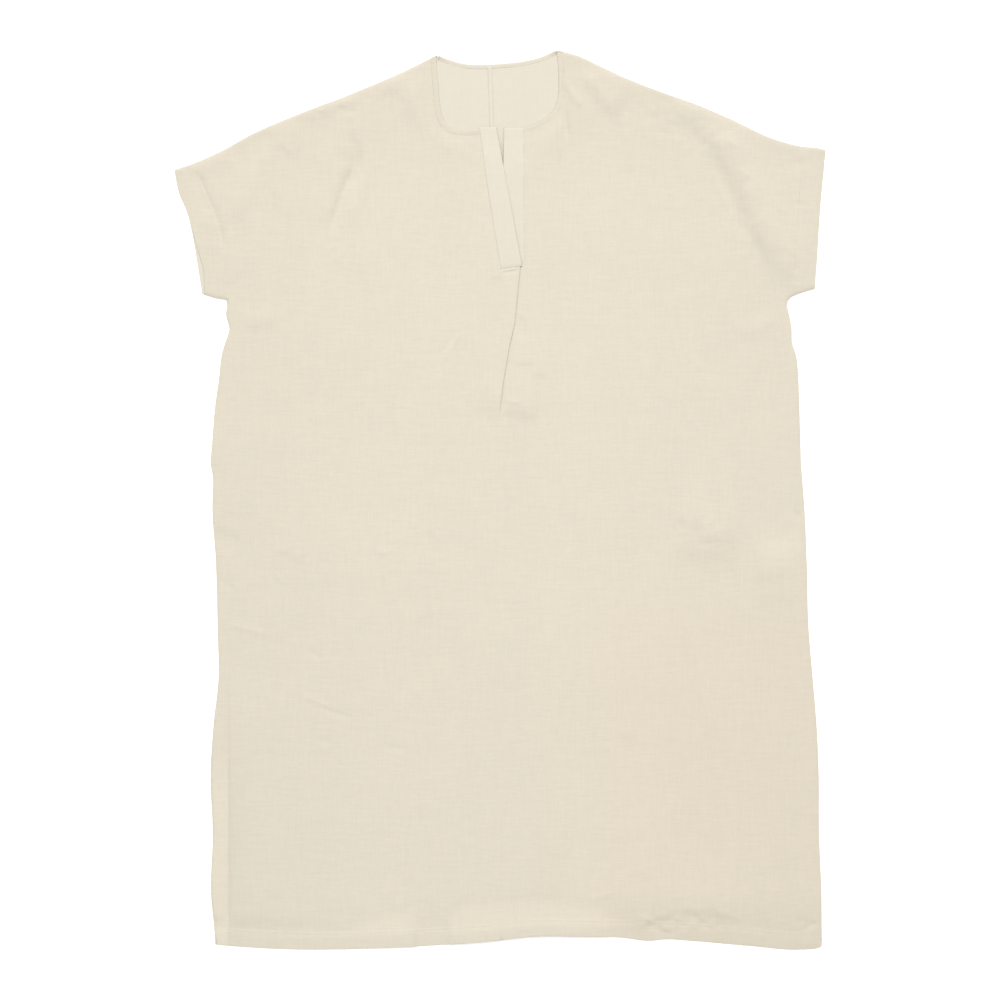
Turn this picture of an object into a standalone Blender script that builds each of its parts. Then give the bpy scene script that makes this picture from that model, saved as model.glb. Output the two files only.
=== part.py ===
# Linen pullover poncho dress, laid flat with its front up.
# X runs across the garment, +Y points to the neck and +Z up from the surface it lies on.
# Sizes are in millimetres and become metres where a mesh is made.
#
# Layers from the surface up: the two back panels, the front panel with its knife pleat,
# and the placket strips and neck bindings that are sewn to the front.

import math
from collections import namedtuple

import bpy
import numpy as np
from mathutils import Vector
from mathutils.geometry import delaunay_2d_cdt

MM = 0.001
Point = namedtuple("Point", "x y")
Side = namedtuple("Side", "y left right")
Strip = namedtuple("Strip", "top_left top_right bottom_left bottom_right")
Crease = namedtuple("Crease", "name x1 y1 x2 y2 x3 y3 width height")

# Driving sizes of the cloth
WALL = 1.2             # cloth wall
SEAM_GAP = 0.3         # between pieces at a seam
LAYER_GAP = 0.35       # between layers that lie on each other
HEM_DEPTH = 20.0       # turned hem at the bottom
CUFF_DEPTH = 28.0      # turned hem at the sleeves
HEM_RISE = 0.5         # how far a turned hem stands above the panel
HEM_STEP = 1.5         # width of the slope at a hem's stitch line
EDGE_SPACING = 13.0    # between points along the sides of the outline
SLOPE_SPACING = 26.0   # along the shoulders and sleeve openings
HEM_SPACING = 21.0     # along the bottom hem
NECK_SPACING = 9.0     # along the neck
GRID_SPACING = 38.0    # between points inside a panel
GRID_ROW = 33.0        # between rows of those points
GRID_REACH = Point(390.0, 530.0)
EDGE_CLEAR = 4.5       # between a cut edge and the first point inside it
POINT_CLEAR = 4.0      # least distance between two points inside a panel
LINE_CLEAR = 7.0       # between a stitch line and the points beside it

# Levels of the layers above the surface
BACK_TOP = WALL
FRONT_BOTTOM = BACK_TOP + LAYER_GAP
FRONT_TOP = FRONT_BOTTOM + WALL

# Outline of the garment, as points from the centre of its box
BACK_NECK = [
    Point(68.2, 539.8), Point(62.2, 537.4), Point(45.4, 530.8), Point(28.6, 526.9),
    Point(0.0, 523.8), Point(-21.8, 522.7), Point(-42.0, 523.6), Point(-59.0, 528.0),
    Point(-75.8, 533.8),
]
LEFT_SHOULDER = [
    Point(-75.8, 533.8), Point(-107.0, 518.0), Point(-173.0, 489.2), Point(-247.0, 460.6),
    Point(-300.0, 437.5), Point(-336.0, 417.5), Point(-369.8, 403.0), Point(-390.8, 395.8),
]
LEFT_CUFF = [
    Point(-390.8, 395.8), Point(-385.8, 370.0), Point(-375.8, 346.0), Point(-370.0, 322.0),
    Point(-364.5, 290.0), Point(-357.6, 247.0),
]
LEFT_UNDERARM = [
    Point(-357.6, 247.0), Point(-343.0, 243.2), Point(-328.7, 240.5),
]
LEFT_CUFF_FRONT = [
    Point(-390.8, 395.8), Point(-385.8, 370.0), Point(-375.8, 346.0), Point(-368.6, 327.0),
    Point(-361.0, 306.0), Point(-356.2, 288.0), Point(-354.0, 249.5),
]
LEFT_UNDERARM_FRONT = [
    Point(-354.0, 249.5), Point(-342.0, 244.6), Point(-328.7, 240.5),
]
SIDES = [
    Side(232.6, -327.5, 343.8), Side(225.0, -329.0, 346.0), Side(204.0, -325.0, 349.7),
    Side(189.0, -329.9, 350.2), Side(175.0, -333.8, 354.6), Side(146.0, -337.4, 357.7),
    Side(117.0, -341.5, 358.8), Side(60.0, -346.3, 360.5), Side(45.0, -347.6, 360.9),
    Side(31.0, -345.2, 361.9), Side(-12.0, -345.4, 365.2), Side(-70.0, -341.4, 367.7),
    Side(-156.0, -339.0, 370.2), Side(-214.0, -338.0, 375.0), Side(-271.0, -344.0, 379.7),
    Side(-329.0, -347.5, 382.2), Side(-401.0, -344.9, 382.6), Side(-473.0, -347.0, 385.5),
    Side(-516.0, -343.0, 385.8),
]
HEM = [
    Point(-341.6, -533.6), Point(-307.0, -536.4), Point(-223.0, -539.6), Point(-156.0, -537.9),
    Point(-89.0, -535.0), Point(-22.0, -530.0), Point(48.0, -523.2), Point(96.0, -523.9),
    Point(146.0, -525.2), Point(180.0, -529.0), Point(199.0, -527.2), Point(232.0, -529.2),
    Point(297.0, -534.8), Point(364.0, -539.8), Point(381.0, -537.4), Point(385.8, -531.5),
]
RIGHT_UNDERARM = [
    Point(345.0, 238.6), Point(348.5, 243.0), Point(357.0, 247.0), Point(377.4, 253.5),
]
RIGHT_CUFF = [
    Point(377.4, 253.5), Point(380.6, 297.0), Point(382.8, 335.0), Point(385.6, 370.0),
    Point(390.8, 417.5), Point(389.0, 422.4),
]
RIGHT_SHOULDER = [
    Point(389.0, 422.4), Point(372.0, 424.4), Point(362.0, 423.8), Point(331.0, 431.8),
    Point(281.0, 454.6), Point(247.0, 469.6), Point(180.0, 494.2), Point(146.0, 508.0),
    Point(112.6, 523.6), Point(95.8, 531.6), Point(68.2, 539.8),
]

# Visible edge of the front neckline, from each shoulder down to the placket
LEFT_NECKLINE = [
    Point(-75.8, 533.0), Point(-76.2, 522.0), Point(-74.6, 503.8), Point(-71.4, 470.0),
    Point(-68.6, 458.2), Point(-63.4, 449.8), Point(-56.0, 446.0), Point(-42.8, 444.6),
    Point(-24.6, 446.0),
]
RIGHT_NECKLINE = [
    Point(67.6, 538.2), Point(69.2, 524.0), Point(70.0, 509.8), Point(68.4, 480.0),
    Point(63.0, 467.0), Point(53.8, 458.0), Point(41.8, 451.4), Point(28.0, 447.4),
]

# Neck bindings
FRONT_BINDING_WIDTH = 6.6
BACK_BINDING_WIDTH = 5.0
EDGE_INSET = WALL + LAYER_GAP     # a panel's cut edge lies this far inside its binding
BINDING_ROUND = 0.5               # rounding of a binding's upper edges
BACK_NECK_SPAN = (-75.0, 66.5)    # part of the back neck between the front's shoulders

# Placket strips, as corners seen from above
OVER_STRIP = Strip(Point(-23.8, 447.4), Point(-3.6, 447.4), Point(2.2, 281.0), Point(25.6, 285.0))
UNDER_STRIP = Strip(Point(5.0, 446.6), Point(27.2, 446.6), Point(4.4, 288.1), Point(28.6, 288.1))
STRIP_ROWS = 18
STRIP_COLUMNS = 4

# Slit of the front under the placket
SLIT_BOTTOM = 287.8
SLIT_TUCK = 2.0        # how far the left edge lies under the over strip at the top
SLIT_TUCK_LOW = 1.2    # and at the bottom
SLIT_POINTS = 10       # along each edge

# Knife pleat below the placket: the left cloth lies over the right
PLEAT_END = 97.0       # where the fold has opened flat
PLEAT_OVERLAP = 24.0   # at the top; it narrows to none
PLEAT_OPENING = 126.0  # below this height the fold turns flat
PLEAT_MIN_OVERLAP = 0.6
PLEAT_MIN_TURN = 1e-4  # keeps the fold's radius finite where the cloth is flat
PLEAT_ROWS = 22
PLEAT_RADIUS = (WALL + LAYER_GAP) / 2
PLEAT_ARC = math.pi * PLEAT_RADIUS
PLEAT_ARC_STEPS = 5
PLEAT_EDGE = [
    Point(25.6, 287.8), Point(22.6, 251.8), Point(15.4, 209.8), Point(10.6, 185.8),
    Point(5.8, 161.8), Point(2.2, 137.8), Point(-3.8, 97.0),
]
PLEAT_SIDE_COLUMNS = (5.0, 12.0, 20.0, 29.0, 40.0, 53.0)   # points beside the fold
PLEAT_LIFT_SPAN = 48.0     # width of the soft slope that climbs onto the pleat
PLEAT_LIFT_MARGIN = 4.0
PLEAT_SIDE_CLEAR = 9.0     # free space round those points
SLIT_LIFT_END = 440.0      # the lift fades out up the placket
BAND_PART = 6.0            # width that each part of the fold has in the flat layout

# Centre-back seam
SEAM_TOP = Point(-15.4, 523.0)
SEAM_BOTTOM = Point(20.0, -526.8)

# Soft form of the front: one wide swell and the creases that the photograph shows
SWELL = 1.5
SWELL_WAVE = 0.5
SWELL_LENGTHS = (61.0, 97.0, 83.0, 140.0)   # lengths that give the waves their size
EDGE_FADE = 34.0           # the swell dies out this far inside the outline
CREASES = [
    Crease("right sleeve fold", 250.0, 462.0, 297.0, 402.0, 352.0, 268.0, 17.0, 4.2),
    Crease("right shoulder fold", 96.0, 515.0, 122.0, 488.0, 141.0, 455.0, 8.0, 1.8),
    Crease("right neck fold", 80.0, 502.0, 85.0, 465.0, 90.0, 425.0, 6.0, 1.6),
    Crease("right gather 1", 60.0, 455.0, 59.0, 430.0, 56.0, 408.0, 3.6, 1.1),
    Crease("right gather 2", 69.5, 462.0, 70.5, 435.0, 72.0, 402.0, 3.6, 1.3),
    Crease("right gather 3", 47.0, 444.0, 41.0, 433.0, 34.0, 424.0, 3.4, 0.9),
    Crease("left gather 1", -66.0, 444.0, -64.0, 430.0, -62.0, 414.0, 3.6, 1.1),
    Crease("left gather 2", -77.0, 462.0, -77.0, 446.0, -76.0, 430.0, 3.6, 0.9),
    Crease("left gather 3", -45.0, 437.0, -36.0, 430.0, -28.0, 422.0, 3.4, 0.9),
    Crease("left shoulder fold", -88.0, 510.0, -104.0, 490.0, -112.0, 456.0, 11.0, 1.9),
    Crease("left chest fold", -176.0, 446.0, -171.0, 408.0, -204.0, 296.0, 9.0, 1.9),
    Crease("left sleeve fold", -262.0, 430.0, -292.0, 396.0, -318.0, 330.0, 13.0, 2.0),
    Crease("left underarm", -318.0, 222.0, -292.0, 214.0, -262.0, 224.0, 8.0, 1.6),
    Crease("right underarm", 336.0, 224.0, 306.0, 206.0, 274.0, 208.0, 9.0, 1.8),
    Crease("right side pucker", 352.0, -2.0, 332.0, -26.0, 318.0, -66.0, 9.0, 1.9),
    Crease("left side pucker", -334.0, -148.0, -306.0, -154.0, -276.0, -166.0, 6.0, 1.3),
    Crease("left lower crease 1", -240.0, -186.0, -216.0, -194.0, -192.0, -200.0, 5.0, 1.2),
    Crease("left lower crease 2", -248.0, -240.0, -214.0, -252.0, -180.0, -268.0, 6.0, 1.4),
    Crease("left lower crease 3", -244.0, -282.0, -220.0, -286.0, -200.0, -296.0, 5.0, 1.2),
    Crease("middle left crease", -160.0, -40.0, -140.0, -60.0, -128.0, -92.0, 7.0, 1.2),
    Crease("hem roll", -204.0, -514.0, -36.0, -502.0, 168.0, -504.0, 13.0, 4.0),
    Crease("right hem roll", 178.0, -486.0, 244.0, -478.0, 318.0, -486.0, 15.0, 2.6),
]
CREASE_STATIONS = 1.9      # spacing of points along a crease, in crease widths
CREASE_ROWS = (-2.0, -1.0, 0.0, 1.0, 2.0)
CREASE_CLEAR = 2.6         # grid points start this many widths from a crease
CREASE_TAPER = 0.3         # part of a crease's length over which each end fades

# Material colours, linear
CREAM = (0.80, 0.74, 0.61, 1.0)
PALE_CREAM = (0.85, 0.79, 0.67, 1.0)
CLOTH_ROUGHNESS = 0.9


def smoothstep(value):
    """0 below 0, 1 above 1 and a smooth climb between."""
    limited = np.clip(value, 0.0, 1.0)
    return limited * limited * (3.0 - 2.0 * limited)


def smooth_line(points, spacing):
    """A smooth curve through the points, sampled about one spacing apart."""
    knots = np.array([(p.x, p.y) for p in points], dtype=float)
    chords = np.linalg.norm(np.diff(knots, axis=0), axis=1)
    at = np.concatenate([[0.0], np.cumsum(chords)])
    slopes = np.gradient(knots, at, axis=0)
    line = []
    for index, chord in enumerate(chords):
        steps = max(1, round(chord / spacing))
        for t in np.arange(steps) / steps:
            start, end = knots[index], knots[index + 1]
            lean_in, lean_out = slopes[index] * chord, slopes[index + 1] * chord
            line.append((2 * t**3 - 3 * t**2 + 1) * start + (t**3 - 2 * t**2 + t) * lean_in
                        + (3 * t**2 - 2 * t**3) * end + (t**3 - t**2) * lean_out)
    line.append(knots[-1])
    return np.array(line)


def join_lines(*lines):
    """One line from several that start where the last one ends."""
    joined = [lines[0]]
    for line in lines[1:]:
        meets = np.linalg.norm(line[0] - joined[-1][-1]) < SEAM_GAP
        joined.append(line[1:] if meets else line)
    return np.concatenate(joined)


def side_line(side):
    points = [Point(getattr(row, side), row.y) for row in SIDES]
    return smooth_line(points, EDGE_SPACING)


def distance_to_line(points, line):
    """Distance from each point to a line, and how far along the line its nearest spot is."""
    starts = line[:-1]
    spans = line[1:] - starts
    lengths = np.linalg.norm(spans, axis=1)
    offsets = points[:, None, :] - starts[None, :, :]
    share = np.clip((offsets * spans).sum(axis=2) / (lengths**2), 0.0, 1.0)
    gaps = np.linalg.norm(offsets - share[:, :, None] * spans, axis=2)
    nearest = gaps.argmin(axis=1)
    every = np.arange(len(points))
    along = np.concatenate([[0.0], np.cumsum(lengths)])
    reached = along[nearest] + share[every, nearest] * lengths[nearest]
    return gaps[every, nearest], reached / along[-1]


def inside(points, loop):
    """Which points lie inside a closed loop."""
    found = np.zeros(len(points), dtype=bool)
    following = np.roll(loop, -1, axis=0)
    for (x1, y1), (x2, y2) in zip(loop, following):
        crosses = (y1 > points[:, 1]) != (y2 > points[:, 1])
        level = np.where(y1 == y2, 1.0, y2 - y1)
        at = x1 + (points[:, 1] - y1) * (x2 - x1) / level
        found ^= crosses & (points[:, 0] < at)
    return found


def shift_line(line, distance):
    """The line moved sideways, to the left of its direction."""
    along = np.gradient(line, axis=0)
    along /= np.linalg.norm(along, axis=1)[:, None]
    return line + distance * np.column_stack([-along[:, 1], along[:, 0]])


# Edges that several pieces share, counter-clockwise as seen from above
SHOULDER_L = smooth_line(LEFT_SHOULDER, SLOPE_SPACING)
SHOULDER_R = smooth_line(RIGHT_SHOULDER, SLOPE_SPACING)
CUFF_L = smooth_line(LEFT_CUFF, SLOPE_SPACING)
CUFF_R = smooth_line(RIGHT_CUFF, SLOPE_SPACING)
CUFF_LF = smooth_line(LEFT_CUFF_FRONT, SLOPE_SPACING)
HEM_EDGE = smooth_line(HEM, HEM_SPACING)
NECK_B = smooth_line(BACK_NECK, NECK_SPACING)
NECK_L = smooth_line(LEFT_NECKLINE, NECK_SPACING)
NECK_R = smooth_line(RIGHT_NECKLINE, NECK_SPACING)
REST_OF_EDGE = join_lines(
    side_line("left"), HEM_EDGE, side_line("right")[::-1],
    smooth_line(RIGHT_UNDERARM, EDGE_SPACING), CUFF_R, SHOULDER_R,
)
BACK_EDGE = join_lines(
    SHOULDER_L, CUFF_L, smooth_line(LEFT_UNDERARM, EDGE_SPACING), REST_OF_EDGE,
)
FRONT_EDGE = join_lines(
    SHOULDER_L, CUFF_LF, smooth_line(LEFT_UNDERARM_FRONT, EDGE_SPACING), REST_OF_EDGE,
)
FRONT_HEMS = ((HEM_EDGE, HEM_DEPTH), (CUFF_LF, CUFF_DEPTH), (CUFF_R, CUFF_DEPTH))


def crease_lines():
    lines = []
    for row in CREASES:
        points = [Point(row.x1, row.y1), Point(row.x2, row.y2), Point(row.x3, row.y3)]
        lines.append(smooth_line(points, row.width * CREASE_STATIONS))
    return lines


CREASE_LINES = crease_lines()


def relief(points):
    """How far the front's cloth is lifted by its swell and creases."""
    to_edge, _ = distance_to_line(points, FRONT_EDGE)
    x, y = points[:, 0], points[:, 1]
    a, b, c, d = SWELL_LENGTHS
    waves = np.sin(x / a + y / b) * np.sin(y / c - x / d)
    height = SWELL + SWELL_WAVE * waves
    for row, line in zip(CREASES, CREASE_LINES):
        gap, along = distance_to_line(points, line)
        taper = smoothstep(along / CREASE_TAPER) * smoothstep((1.0 - along) / CREASE_TAPER)
        height = height + row.height * taper * np.exp(-((gap / row.width) ** 2))
    return height * smoothstep(to_edge / EDGE_FADE)


def hem_rise(points):
    """Extra height of the turned hems at the bottom and the sleeves."""
    height = np.zeros(len(points))
    for edge, depth in FRONT_HEMS:
        gap, _ = distance_to_line(points, edge)
        height = np.maximum(height, HEM_RISE * smoothstep((depth - gap) / HEM_STEP))
    return height


def pleat_edge_x(y):
    heights = [point.y for point in reversed(PLEAT_EDGE)]
    places = [point.x for point in reversed(PLEAT_EDGE)]
    return np.interp(y, heights, places)


def pleat_row(y):
    """Shape of the pleat at one height: where it starts and ends, overlap, turn and drop."""
    y = np.clip(y, PLEAT_END, SLIT_BOTTOM)
    full = (y - PLEAT_OPENING) / (SLIT_BOTTOM - PLEAT_OPENING)
    overlap = PLEAT_MIN_OVERLAP + (PLEAT_OVERLAP - PLEAT_MIN_OVERLAP) * np.clip(full, 0.0, 1.0)
    turn = math.pi * smoothstep((y - PLEAT_END) / (PLEAT_OPENING - PLEAT_END))
    turn = np.maximum(turn, PLEAT_MIN_TURN)
    radius = PLEAT_ARC / turn
    start = pleat_edge_x(y) - PLEAT_RADIUS - WALL / 2
    end = start + 2 * radius * np.sin(turn) + overlap * np.cos(turn)
    drop = 2 * radius * (1 - np.cos(turn)) + overlap * np.sin(turn)
    return start, end, overlap, turn, radius, drop


def left_lift(points):
    """How far the cloth left of the pleat is raised to lie over it."""
    x, y = points[:, 0], points[:, 1]
    _, end, _, _, _, drop = pleat_row(y)
    climb = smoothstep((x - (end - PLEAT_LIFT_MARGIN - PLEAT_LIFT_SPAN)) / PLEAT_LIFT_SPAN)
    above = 1.0 - smoothstep((y - SLIT_BOTTOM) / (SLIT_LIFT_END - SLIT_BOTTOM))
    return drop * climb * above


def to_layout(points, on_right):
    """Place of a point of the front in the flat layout, where the pleat is opened out."""
    start, end, _, _, _, _ = pleat_row(points[:, 1])
    left = points[:, 0] - start
    right = 3 * BAND_PART + points[:, 0] - end
    return np.column_stack([np.where(on_right, right, left), points[:, 1]])


def fold_front(layout):
    """Middle of the front's wall, and the wall's direction, for points of the flat layout."""
    across, y = layout[:, 0], layout[:, 1]
    start, end, overlap, turn, radius, drop = pleat_row(y)
    first = np.clip(across / BAND_PART, 0.0, 1.0)
    middle = np.clip(across / BAND_PART - 1.0, 0.0, 1.0)
    last = np.clip(across / BAND_PART - 2.0, 0.0, 1.0)
    heading = turn * (first - last)
    x = start + np.minimum(across, 0.0) + np.maximum(across - 3 * BAND_PART, 0.0)
    x = x + radius * np.sin(turn * first) + overlap * np.cos(turn) * middle
    x = x + radius * (np.sin(turn) - np.sin(turn * (1.0 - last)))
    fallen = radius * (1 - np.cos(turn * first)) + overlap * np.sin(turn) * middle
    fallen = fallen + radius * (np.cos(turn * (1.0 - last)) - np.cos(turn))
    flat = np.column_stack([x, y])
    lifted = np.where(across <= 0.0, left_lift(flat), drop - fallen)
    z = FRONT_BOTTOM + WALL / 2 + lifted + relief(flat)
    direction = np.column_stack([np.sin(heading), np.zeros(len(x)), np.cos(heading)])
    return np.column_stack([x, y, z]), direction


def front_top(points, left):
    """Level of the front's upper face at points seen from above."""
    lift = left_lift(points) if left else 0.0
    return FRONT_TOP + lift + relief(points)


def slit_edges():
    """Left and right cut edges of the slit, each from the neckline down."""
    left_top = (OVER_STRIP.top_left.x + SLIT_TUCK, LEFT_NECKLINE[-1].y - EDGE_INSET)
    left_bottom = (OVER_STRIP.bottom_left.x + SLIT_TUCK_LOW, SLIT_BOTTOM)
    right_top = (UNDER_STRIP.top_right.x + SEAM_GAP, RIGHT_NECKLINE[-1].y - EDGE_INSET)
    right_bottom = (UNDER_STRIP.bottom_right.x + SEAM_GAP, SLIT_BOTTOM)
    share = np.linspace(0.0, 1.0, SLIT_POINTS)[:, None]
    left = np.array(left_top) * (1 - share) + np.array(left_bottom) * share
    right = np.array(right_top) * (1 - share) + np.array(right_bottom) * share
    return left, right


def pleat_columns():
    """Places across the layout where the fold needs points, from left to right."""
    arc = np.linspace(0.0, BAND_PART, PLEAT_ARC_STEPS + 1)
    return np.concatenate([arc, [1.5 * BAND_PART], 2 * BAND_PART + arc])


def front_boundary():
    """Closed cut edge of the front in the flat layout."""
    slit_left, slit_right = slit_edges()
    neck_right = binding_row(NECK_R, EDGE_INSET)[:-1]
    neck_left = binding_row(NECK_L, -EDGE_INSET)[:-1]
    right_edge = np.concatenate([neck_right, slit_right])
    left_edge = np.concatenate([neck_left, slit_left])[::-1]
    seams = FRONT_EDGE[1:-1]
    outer = to_layout(seams, seams[:, 0] > pleat_row(seams[:, 1])[0])
    bottom = np.column_stack([pleat_columns(), np.full(len(pleat_columns()), SLIT_BOTTOM)])
    right = to_layout(right_edge, np.full(len(right_edge), True))
    left = to_layout(left_edge, np.full(len(left_edge), False))
    return np.concatenate([outer, right, bottom[::-1], left])


def shoulder_y(x):
    """Height of the shoulder seam at a place across the garment."""
    seam = np.concatenate([SHOULDER_L[::-1], SHOULDER_R[::-1]])
    return np.interp(x, seam[:, 0], seam[:, 1])


def binding_row(path, inset):
    """The neckline moved onto the cloth, with its first point cut off at the shoulder seam."""
    row = shift_line(path, inset)
    row[0][1] = min(row[0][1], shoulder_y(row[0][0]) - SEAM_GAP)
    return row


def panel_lines():
    """Lines that the front needs points on: hem stitch lines and the bindings' inner edges."""
    lines = [binding_row(NECK_L, -FRONT_BINDING_WIDTH)[1:]]
    lines.append(binding_row(NECK_R, FRONT_BINDING_WIDTH)[1:])
    for edge, depth in FRONT_HEMS:
        for inset in (depth, depth - HEM_STEP):
            line = shift_line(edge, inset)
            gap, _ = distance_to_line(line, FRONT_EDGE)
            lines.append(line[gap > inset - HEM_STEP])
    return lines


def grid_points():
    """Even points over the whole garment, every other row shifted by half a step."""
    points = []
    for row, y in enumerate(np.arange(-GRID_REACH.y, GRID_REACH.y, GRID_ROW)):
        shift = GRID_SPACING / 2 * (row % 2)
        points += [(x + shift, y) for x in np.arange(-GRID_REACH.x, GRID_REACH.x, GRID_SPACING)]
    return np.array(points)


def pleat_side_points():
    """Points of the flat layout on both sides of the fold, close enough to keep its layers apart."""
    columns = [-gap for gap in PLEAT_SIDE_COLUMNS]
    columns += [3 * BAND_PART + gap for gap in PLEAT_SIDE_COLUMNS]
    heights = np.linspace(SLIT_BOTTOM, PLEAT_END, PLEAT_ROWS // 2 + 1)
    return np.array([(column, y) for y in heights for column in columns])


def crease_points():
    """Points on both flanks of every crease."""
    found = []
    for row, line in zip(CREASES, CREASE_LINES):
        found += [shift_line(line, side * row.width) for side in CREASE_ROWS]
    return np.concatenate(found)


def front_mesh():
    """Vertices and faces of the front panel."""
    boundary = front_boundary()
    lines = panel_lines()
    creases = crease_points()
    grid = grid_points()
    clear = np.full(len(grid), True)
    for row, line in zip(CREASES, CREASE_LINES):
        clear &= distance_to_line(grid, line)[0] > CREASE_CLEAR * row.width
    free = np.concatenate([grid[clear], creases])
    to_lines = [distance_to_line(free, line)[0] for line in lines]
    free = free[np.min(to_lines, axis=0) > LINE_CLEAR]

    fold_x = pleat_edge_x(np.clip(free[:, 1], PLEAT_END, SLIT_BOTTOM))
    layout = to_layout(free, free[:, 0] > fold_x)
    reach = PLEAT_SIDE_COLUMNS[-1] + PLEAT_SIDE_CLEAR
    at_pleat = (layout[:, 0] > -reach) & (layout[:, 0] < 3 * BAND_PART + reach)
    at_pleat &= (layout[:, 1] > PLEAT_END - PLEAT_SIDE_CLEAR)
    at_pleat &= (layout[:, 1] < SLIT_BOTTOM + PLEAT_SIDE_CLEAR)
    layout = np.concatenate([pleat_side_points(), layout[~at_pleat]])
    closed = np.concatenate([boundary, boundary[:1]])
    keep = inside(layout, boundary) & (distance_to_line(layout, closed)[0] > EDGE_CLEAR)
    layout = thin_out(layout[keep], POINT_CLEAR)

    vertices = [tuple(p) for p in boundary]
    edges = [(i, (i + 1) % len(boundary)) for i in range(len(boundary))]
    for line in lines:
        start = len(vertices)
        side = line[:, 0] > 0.0
        vertices += [tuple(p) for p in to_layout(line, side)]
        edges += [(start + i, start + i + 1) for i in range(len(line) - 1)]
    heights = np.linspace(SLIT_BOTTOM, PLEAT_END, PLEAT_ROWS + 1)[1:]
    bottom_start = bottom_row_start(boundary)
    for number, column in enumerate(pleat_columns()):
        above = bottom_start - number
        for y in heights:
            vertices.append((column, y))
            edges.append((above, len(vertices) - 1))
            above = len(vertices) - 1
    vertices += [tuple(p) for p in layout]
    return close_wall(triangulate(vertices, edges, boundary))


def bottom_row_start(boundary):
    """Number of the boundary point where the fold's first column starts."""
    first = np.array([0.0, SLIT_BOTTOM])
    return int(np.linalg.norm(boundary - first, axis=1).argmin())


def thin_out(points, spacing):
    """Points with none closer than the spacing to one kept before it."""
    kept = []
    for point in points:
        if not kept or np.linalg.norm(np.array(kept) - point, axis=1).min() > spacing:
            kept.append(point)
    return np.array(kept)


def triangulate(vertices, edges, boundary):
    """Triangles of the flat layout inside the boundary."""
    flat = [Vector(v) for v in vertices]
    points, _, faces, _, _, _ = delaunay_2d_cdt(flat, edges, [], 0, 1e-5, True)
    layout = np.array([tuple(p) for p in points])
    faces = np.array([tuple(face) for face in faces])
    centres = layout[faces].mean(axis=1)
    faces = faces[inside(centres, boundary)]
    return layout, faces


def close_wall(flat):
    """Upper and lower face of the front's wall and the rim between them."""
    layout, faces = flat
    middle, direction = fold_front(layout)
    raised = hem_rise(middle[:, :2]) * (np.abs(direction[:, 2]) > 0.99)
    upper = middle + direction * WALL / 2
    upper[:, 2] += raised
    lower = middle - direction * WALL / 2
    return wall_between(upper, lower, faces)


def wall_between(upper, lower, faces):
    """A closed wall from matching upper and lower points and the upper faces."""
    count = len(upper)
    all_faces = [tuple(face) for face in faces]
    all_faces += [tuple(int(i) + count for i in reversed(face)) for face in faces]
    directed = set()
    for face in faces:
        for a, b in zip(face, np.roll(face, -1)):
            directed.add((int(a), int(b)))
    for a, b in sorted(directed):
        if (b, a) not in directed:
            all_faces.append((a, a + count, b + count))
            all_faces.append((a, b + count, b))
    return np.concatenate([upper, lower]), all_faces


def plate_mesh(loop, bottom, top):
    """A flat panel between two levels from its closed cut edge."""
    vertices = [tuple(p) for p in loop]
    edges = [(i, (i + 1) % len(loop)) for i in range(len(loop))]
    layout, faces = triangulate(vertices, edges, loop)
    upper = np.column_stack([layout, np.full(len(layout), top)])
    lower = np.column_stack([layout, np.full(len(layout), bottom)])
    return wall_between(upper, lower, faces)


def between_shoulders(line):
    """The part of the back neck line that the front leaves open."""
    return line[(line[:, 0] > BACK_NECK_SPAN[0]) & (line[:, 0] < BACK_NECK_SPAN[1])]


def back_meshes():
    """Both back panels, parted at the centre-back seam."""
    neck = between_shoulders(shift_line(NECK_B, EDGE_INSET))
    seam = np.array([SEAM_TOP, SEAM_BOTTOM], dtype=float)
    is_left = neck[:, 0] < seam[0][0]
    half = SEAM_GAP / 2
    seam_left = seam - np.array([half, 0.0])
    seam_right = seam + np.array([half, 0.0])
    low = HEM_EDGE[:, 0] < SEAM_BOTTOM.x
    left_outer = BACK_EDGE[:last_index(BACK_EDGE, HEM_EDGE[low][-1]) + 1]
    right_outer = BACK_EDGE[last_index(BACK_EDGE, HEM_EDGE[~low][0]):]
    seam_left[0][1] = seam_right[0][1] = np.interp(seam[0][0], neck[::-1, 0], neck[::-1, 1])
    left = np.concatenate([left_outer, seam_left[::-1], neck[is_left]])
    right = np.concatenate([right_outer, neck[~is_left], seam_right])
    return plate_mesh(left, 0.0, BACK_TOP), plate_mesh(right, 0.0, BACK_TOP)


def last_index(line, point):
    return int(np.linalg.norm(line - point, axis=1).argmin())


def strip_mesh(strip, level, thickness):
    """A placket strip: rows from the neckline down, with the level of its lower face."""
    down = np.linspace(0.0, 1.0, STRIP_ROWS + 1)
    across = np.linspace(0.0, 1.0, STRIP_COLUMNS + 1)
    corners = [np.array(corner) for corner in strip]
    top_left, top_right, bottom_left, bottom_right = corners
    points = []
    for v in down:
        start = top_left * (1 - v) + bottom_left * v
        end = top_right * (1 - v) + bottom_right * v
        points += [start * (1 - u) + end * u for u in across]
    points = np.array(points)
    width = len(across)
    faces = []
    for row in range(STRIP_ROWS):
        for column in range(STRIP_COLUMNS):
            a = row * width + column
            faces += [(a, a + width, a + width + 1), (a, a + width + 1, a + 1)]
    lower = np.column_stack([points, level(points)])
    upper = lower + np.array([0.0, 0.0, thickness])
    return wall_between(upper, lower, np.array(faces))


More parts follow.
